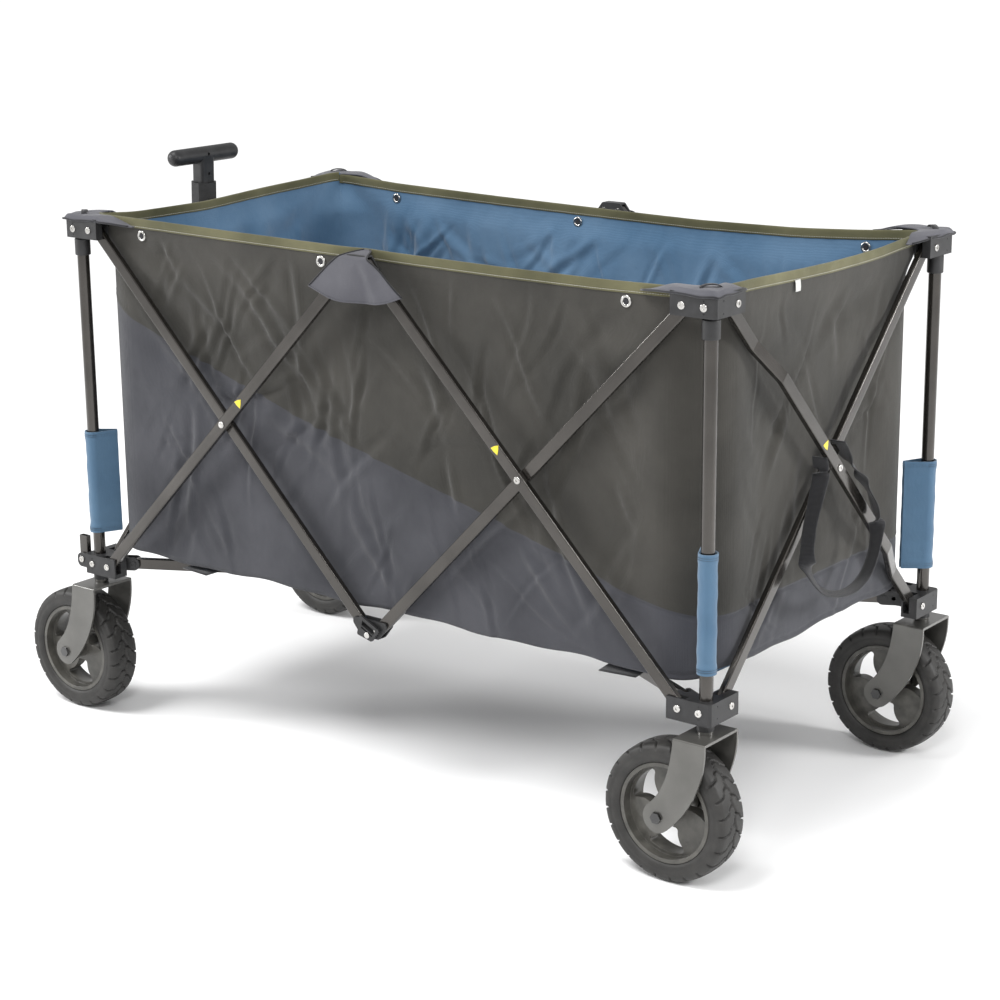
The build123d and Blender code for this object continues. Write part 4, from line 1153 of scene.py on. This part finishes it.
def add_strap_uv(thing, rows, columns, run):
    """U is the distance along the strap in metres, V the share round its section."""
    layer = thing.data.uv_layers.new(name="strap")
    index = np.empty(len(thing.data.loops), np.int32)
    thing.data.loops.foreach_get("vertex_index", index)
    index = np.minimum(index, rows * columns - 1)
    u, v = run[index // columns] * MM, (index % columns) / columns * 0.02
    layer.data.foreach_set("uv", np.stack([u, v], -1).astype(np.float32).ravel())


def make_strap(name, path, twist, width, thick, outward, count=180):
    """A strap with its UV map and the webbing finish."""
    points, run = strap_points(path, twist, width, thick, np.array(outward, float), count)
    strap = make_surface(name, points, False, True, caps=True)
    add_strap_uv(strap, points.shape[0], points.shape[1], run)
    work = bmesh.new()
    work.from_mesh(strap.data)
    bmesh.ops.recalc_face_normals(work, faces=work.faces)
    work.to_mesh(strap.data)
    work.free()
    return give(strap, black_webbing)


rear_x = centre_x + half_length
hidden = 11.0
loop_path = [(-38, 548, hidden), (-34, 524, hidden), (-50, 494, 14), (-79, 447, 20), (-92, 404, 28), (-72, 370, 36),
             (-36, 355, 41), (10, 352, 43), (48, 366, 42), (74, 398, 40), (83, 434, 37), (72, 470, 34), (57, 495, 27),
             (47, 511, 25), (38, 527, 14), (26, 545, hidden), (10, 562, hidden)]
loop_twist = [0, 0, 10, 28, 38, 30, 10, -8, -20, -28, -24, -14, -5, 0, 0, 0, 0]
path = [(rear_x + n, y, z) for y, z, n in loop_path]
loop = make_strap("rear_strap_loop", path, loop_twist, 25.0, 1.8, (0, 0, 1))
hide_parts("strap_loop")
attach(loop, "arm_rear_bent")

# %% [markdown]
# Two wider straps pass under the bag. Each ends in a short tab that shows below the hem.

# %% Straps under the bag
low, high = (np.array(p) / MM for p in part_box("floor_straps"))
for name, x, slant in (("floor_strap_front", low[0] + 30, -8), ("floor_strap_rear", high[0] - 30, 10)):
    reach = high[1]
    path = [(x + slant, -reach - 3, 270.5), (x + slant * 0.6, -reach + 30, 270.9),
            (x, -reach / 2, 270.9), (x, 0, 270.8),
            (x, reach / 2, 270.9), (x - slant * 0.6, reach - 30, 270.9), (x - slant, reach + 3, 270.5)]
    strap = make_strap(name, path, [0] * 7, 60.0, 1.8, (0, 0, 1), 90)
    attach(strap, "upper_rear_near" if name.endswith("rear") else "upper_front_near")
    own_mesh(strap)
    if name.endswith("rear"):
        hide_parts("floor_straps")

# %% [markdown]
# ### Small things
# A plain yellow triangle is stuck to the arm above each crossing, and a small blank tag is sewn
# under the rear binding.

# %% Stickers and tag
def rounded_triangle(size, count=36, corner=0.22):
    """A triangle with round corners, as (count, 2): support of a triangle swept by its angle."""
    a = np.linspace(0, 2 * np.pi, count, endpoint=False) + np.pi / 2
    third = 2 * np.pi / 3
    local = (a - np.pi / 2 + third / 2) % third - third / 2
    r = np.cos(np.pi / 3) / np.cos(np.pi / 3 - np.abs(local))
    r = size * (r * (1 - corner) + corner * 0.72)
    return np.stack([r * np.cos(a), r * np.sin(a)], -1)


def add_sticker(name, side, u, z, n, body, size=9.0):
    """A thin plate of that outline on a side, 0.15 mm proud of the arm."""
    shape = rounded_triangle(size)
    lean = math.radians(-38)
    turned_by = np.array([[math.cos(lean), math.sin(lean)], [-math.sin(lean), math.cos(lean)]])
    shape = shape @ turned_by
    rows = [on_side(side, u + shape[:, 0] * k, n + h, z + shape[:, 1] * k) for k, h in
            ((0.02, 0.15), (0.6, 0.15), (0.97, 0.15), (1.0, 0.02), (0.97, 0.0))]
    sticker = make_surface(name, np.stack(rows), False, True, caps=True)
    give(point_outwards(sticker), sticker_yellow)
    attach(sticker, body)


for side in ("near", "far"):
    rear_end, front_end = (1, -1) if side == "near" else (-1, 1)
    add_sticker(f"sticker_{side}_front", side, front_end * 245, 564.8, 14.88, f"arm_{side}_front_outer")
    add_sticker(f"sticker_{side}_rear", side, rear_end * 245, 564.8, 14.88, f"arm_{side}_rear_outer")
add_sticker("sticker_rear", "rear", -40, 567.0, 21.78, "arm_rear_bent")

tag_top = float(rim_height("rear", np.array(-77.0))) - 12
across = np.linspace(-6.5, 6.5, 10)[:, None]
down = np.linspace(0, 16, 12)[None, :]
tag_front = on_side("rear", -77 + across + 0 * down, -INSET + 2.6 + 1.2 * np.sin(down / 16 * 2.4),
                    tag_top - down + 0 * across)
tag_back = tag_front - np.array([0.5 * MM, 0, 0])
tag = make_surface("blank_tag", np.concatenate([tag_front, tag_back[:, ::-1]], axis=1), False, True, caps=True)
give(point_outwards(tag), label_white)
fold_with(tag, "rear")

# %% [markdown]
# ## Studio
# A plain pale floor, a soft even sky and three large lamps: one high in front, one on each side.
# The camera stands in front of the near rear corner and looks slightly down.

# %% Floor, light and camera
floor = make_surface("studio_floor", np.stack(np.meshgrid(np.linspace(-60, 60, 3), np.linspace(-60, 60, 3), [0.0],
                                                          indexing="ij"), -1)[:, :, 0, :])
give(floor, new_finish("pale_floor", (0.93, 0.93, 0.93), 0.95, specular=0.0)[0])

world = bpy.data.worlds.new("studio")
world.use_nodes = True
world.node_tree.nodes["Background"].inputs["Color"].default_value = (1, 1, 1, 1)
world.node_tree.nodes["Background"].inputs["Strength"].default_value = 0.62
bpy.context.scene.world = world


def add_lamp(name, place, target, size, power):
    """A square area lamp at place, turned to face target."""
    lamp = bpy.data.lights.new(name, "AREA")
    lamp.size, lamp.energy = size, power
    made = bpy.data.objects.new(name, lamp)
    made.location = place
    made.rotation_euler = (Vector(target) - Vector(place)).to_track_quat("-Z", "Y").to_euler()
    bpy.context.scene.collection.objects.link(made)


add_lamp("key", (1.9, -2.4, 2.6), (0, 0, 0.4), 0.9, 45)
add_lamp("left", (-2.6, -1.6, 1.5), (0, 0, 0.4), 0.6, 40)
add_lamp("right", (2.8, 1.0, 1.5), (0, 0, 0.4), 0.6, 45)

sun_data = bpy.data.lights.new("soft_sun", "SUN")
sun_data.energy, sun_data.angle = 1.9, math.radians(26)
sun = bpy.data.objects.new("soft_sun", sun_data)
sun.rotation_euler = (Vector((0, 0, 0)) - Vector((-0.35, -0.75, 1.6))).to_track_quat("-Z", "Y").to_euler()
bpy.context.scene.collection.objects.link(sun)

camera_data = bpy.data.cameras.new("camera")
camera_data.sensor_width = 36.0
camera_data.lens = 84.88
camera = bpy.data.objects.new("camera", camera_data)
yaw, pitch, roll = math.radians(37.93), math.radians(15.303), math.radians(-0.579)
forward = Vector((-math.sin(yaw) * math.cos(pitch), math.cos(yaw) * math.cos(pitch), -math.sin(pitch)))
right = forward.cross(Vector((0, 0, 1))).normalized()
upwards = right.cross(forward)
right, upwards = right * math.cos(roll) + upwards * math.sin(roll), upwards * math.cos(roll) - right * math.sin(roll)
camera.matrix_world = Matrix((
    (right.x, upwards.x, -forward.x, 2.241), (right.y, upwards.y, -forward.y, -2.8057),
    (right.z, upwards.z, -forward.z, 1.3568), (0, 0, 0, 1)))
bpy.context.scene.collection.objects.link(camera)
bpy.context.scene.camera = camera
bpy.context.scene.view_settings.view_transform = "Standard"
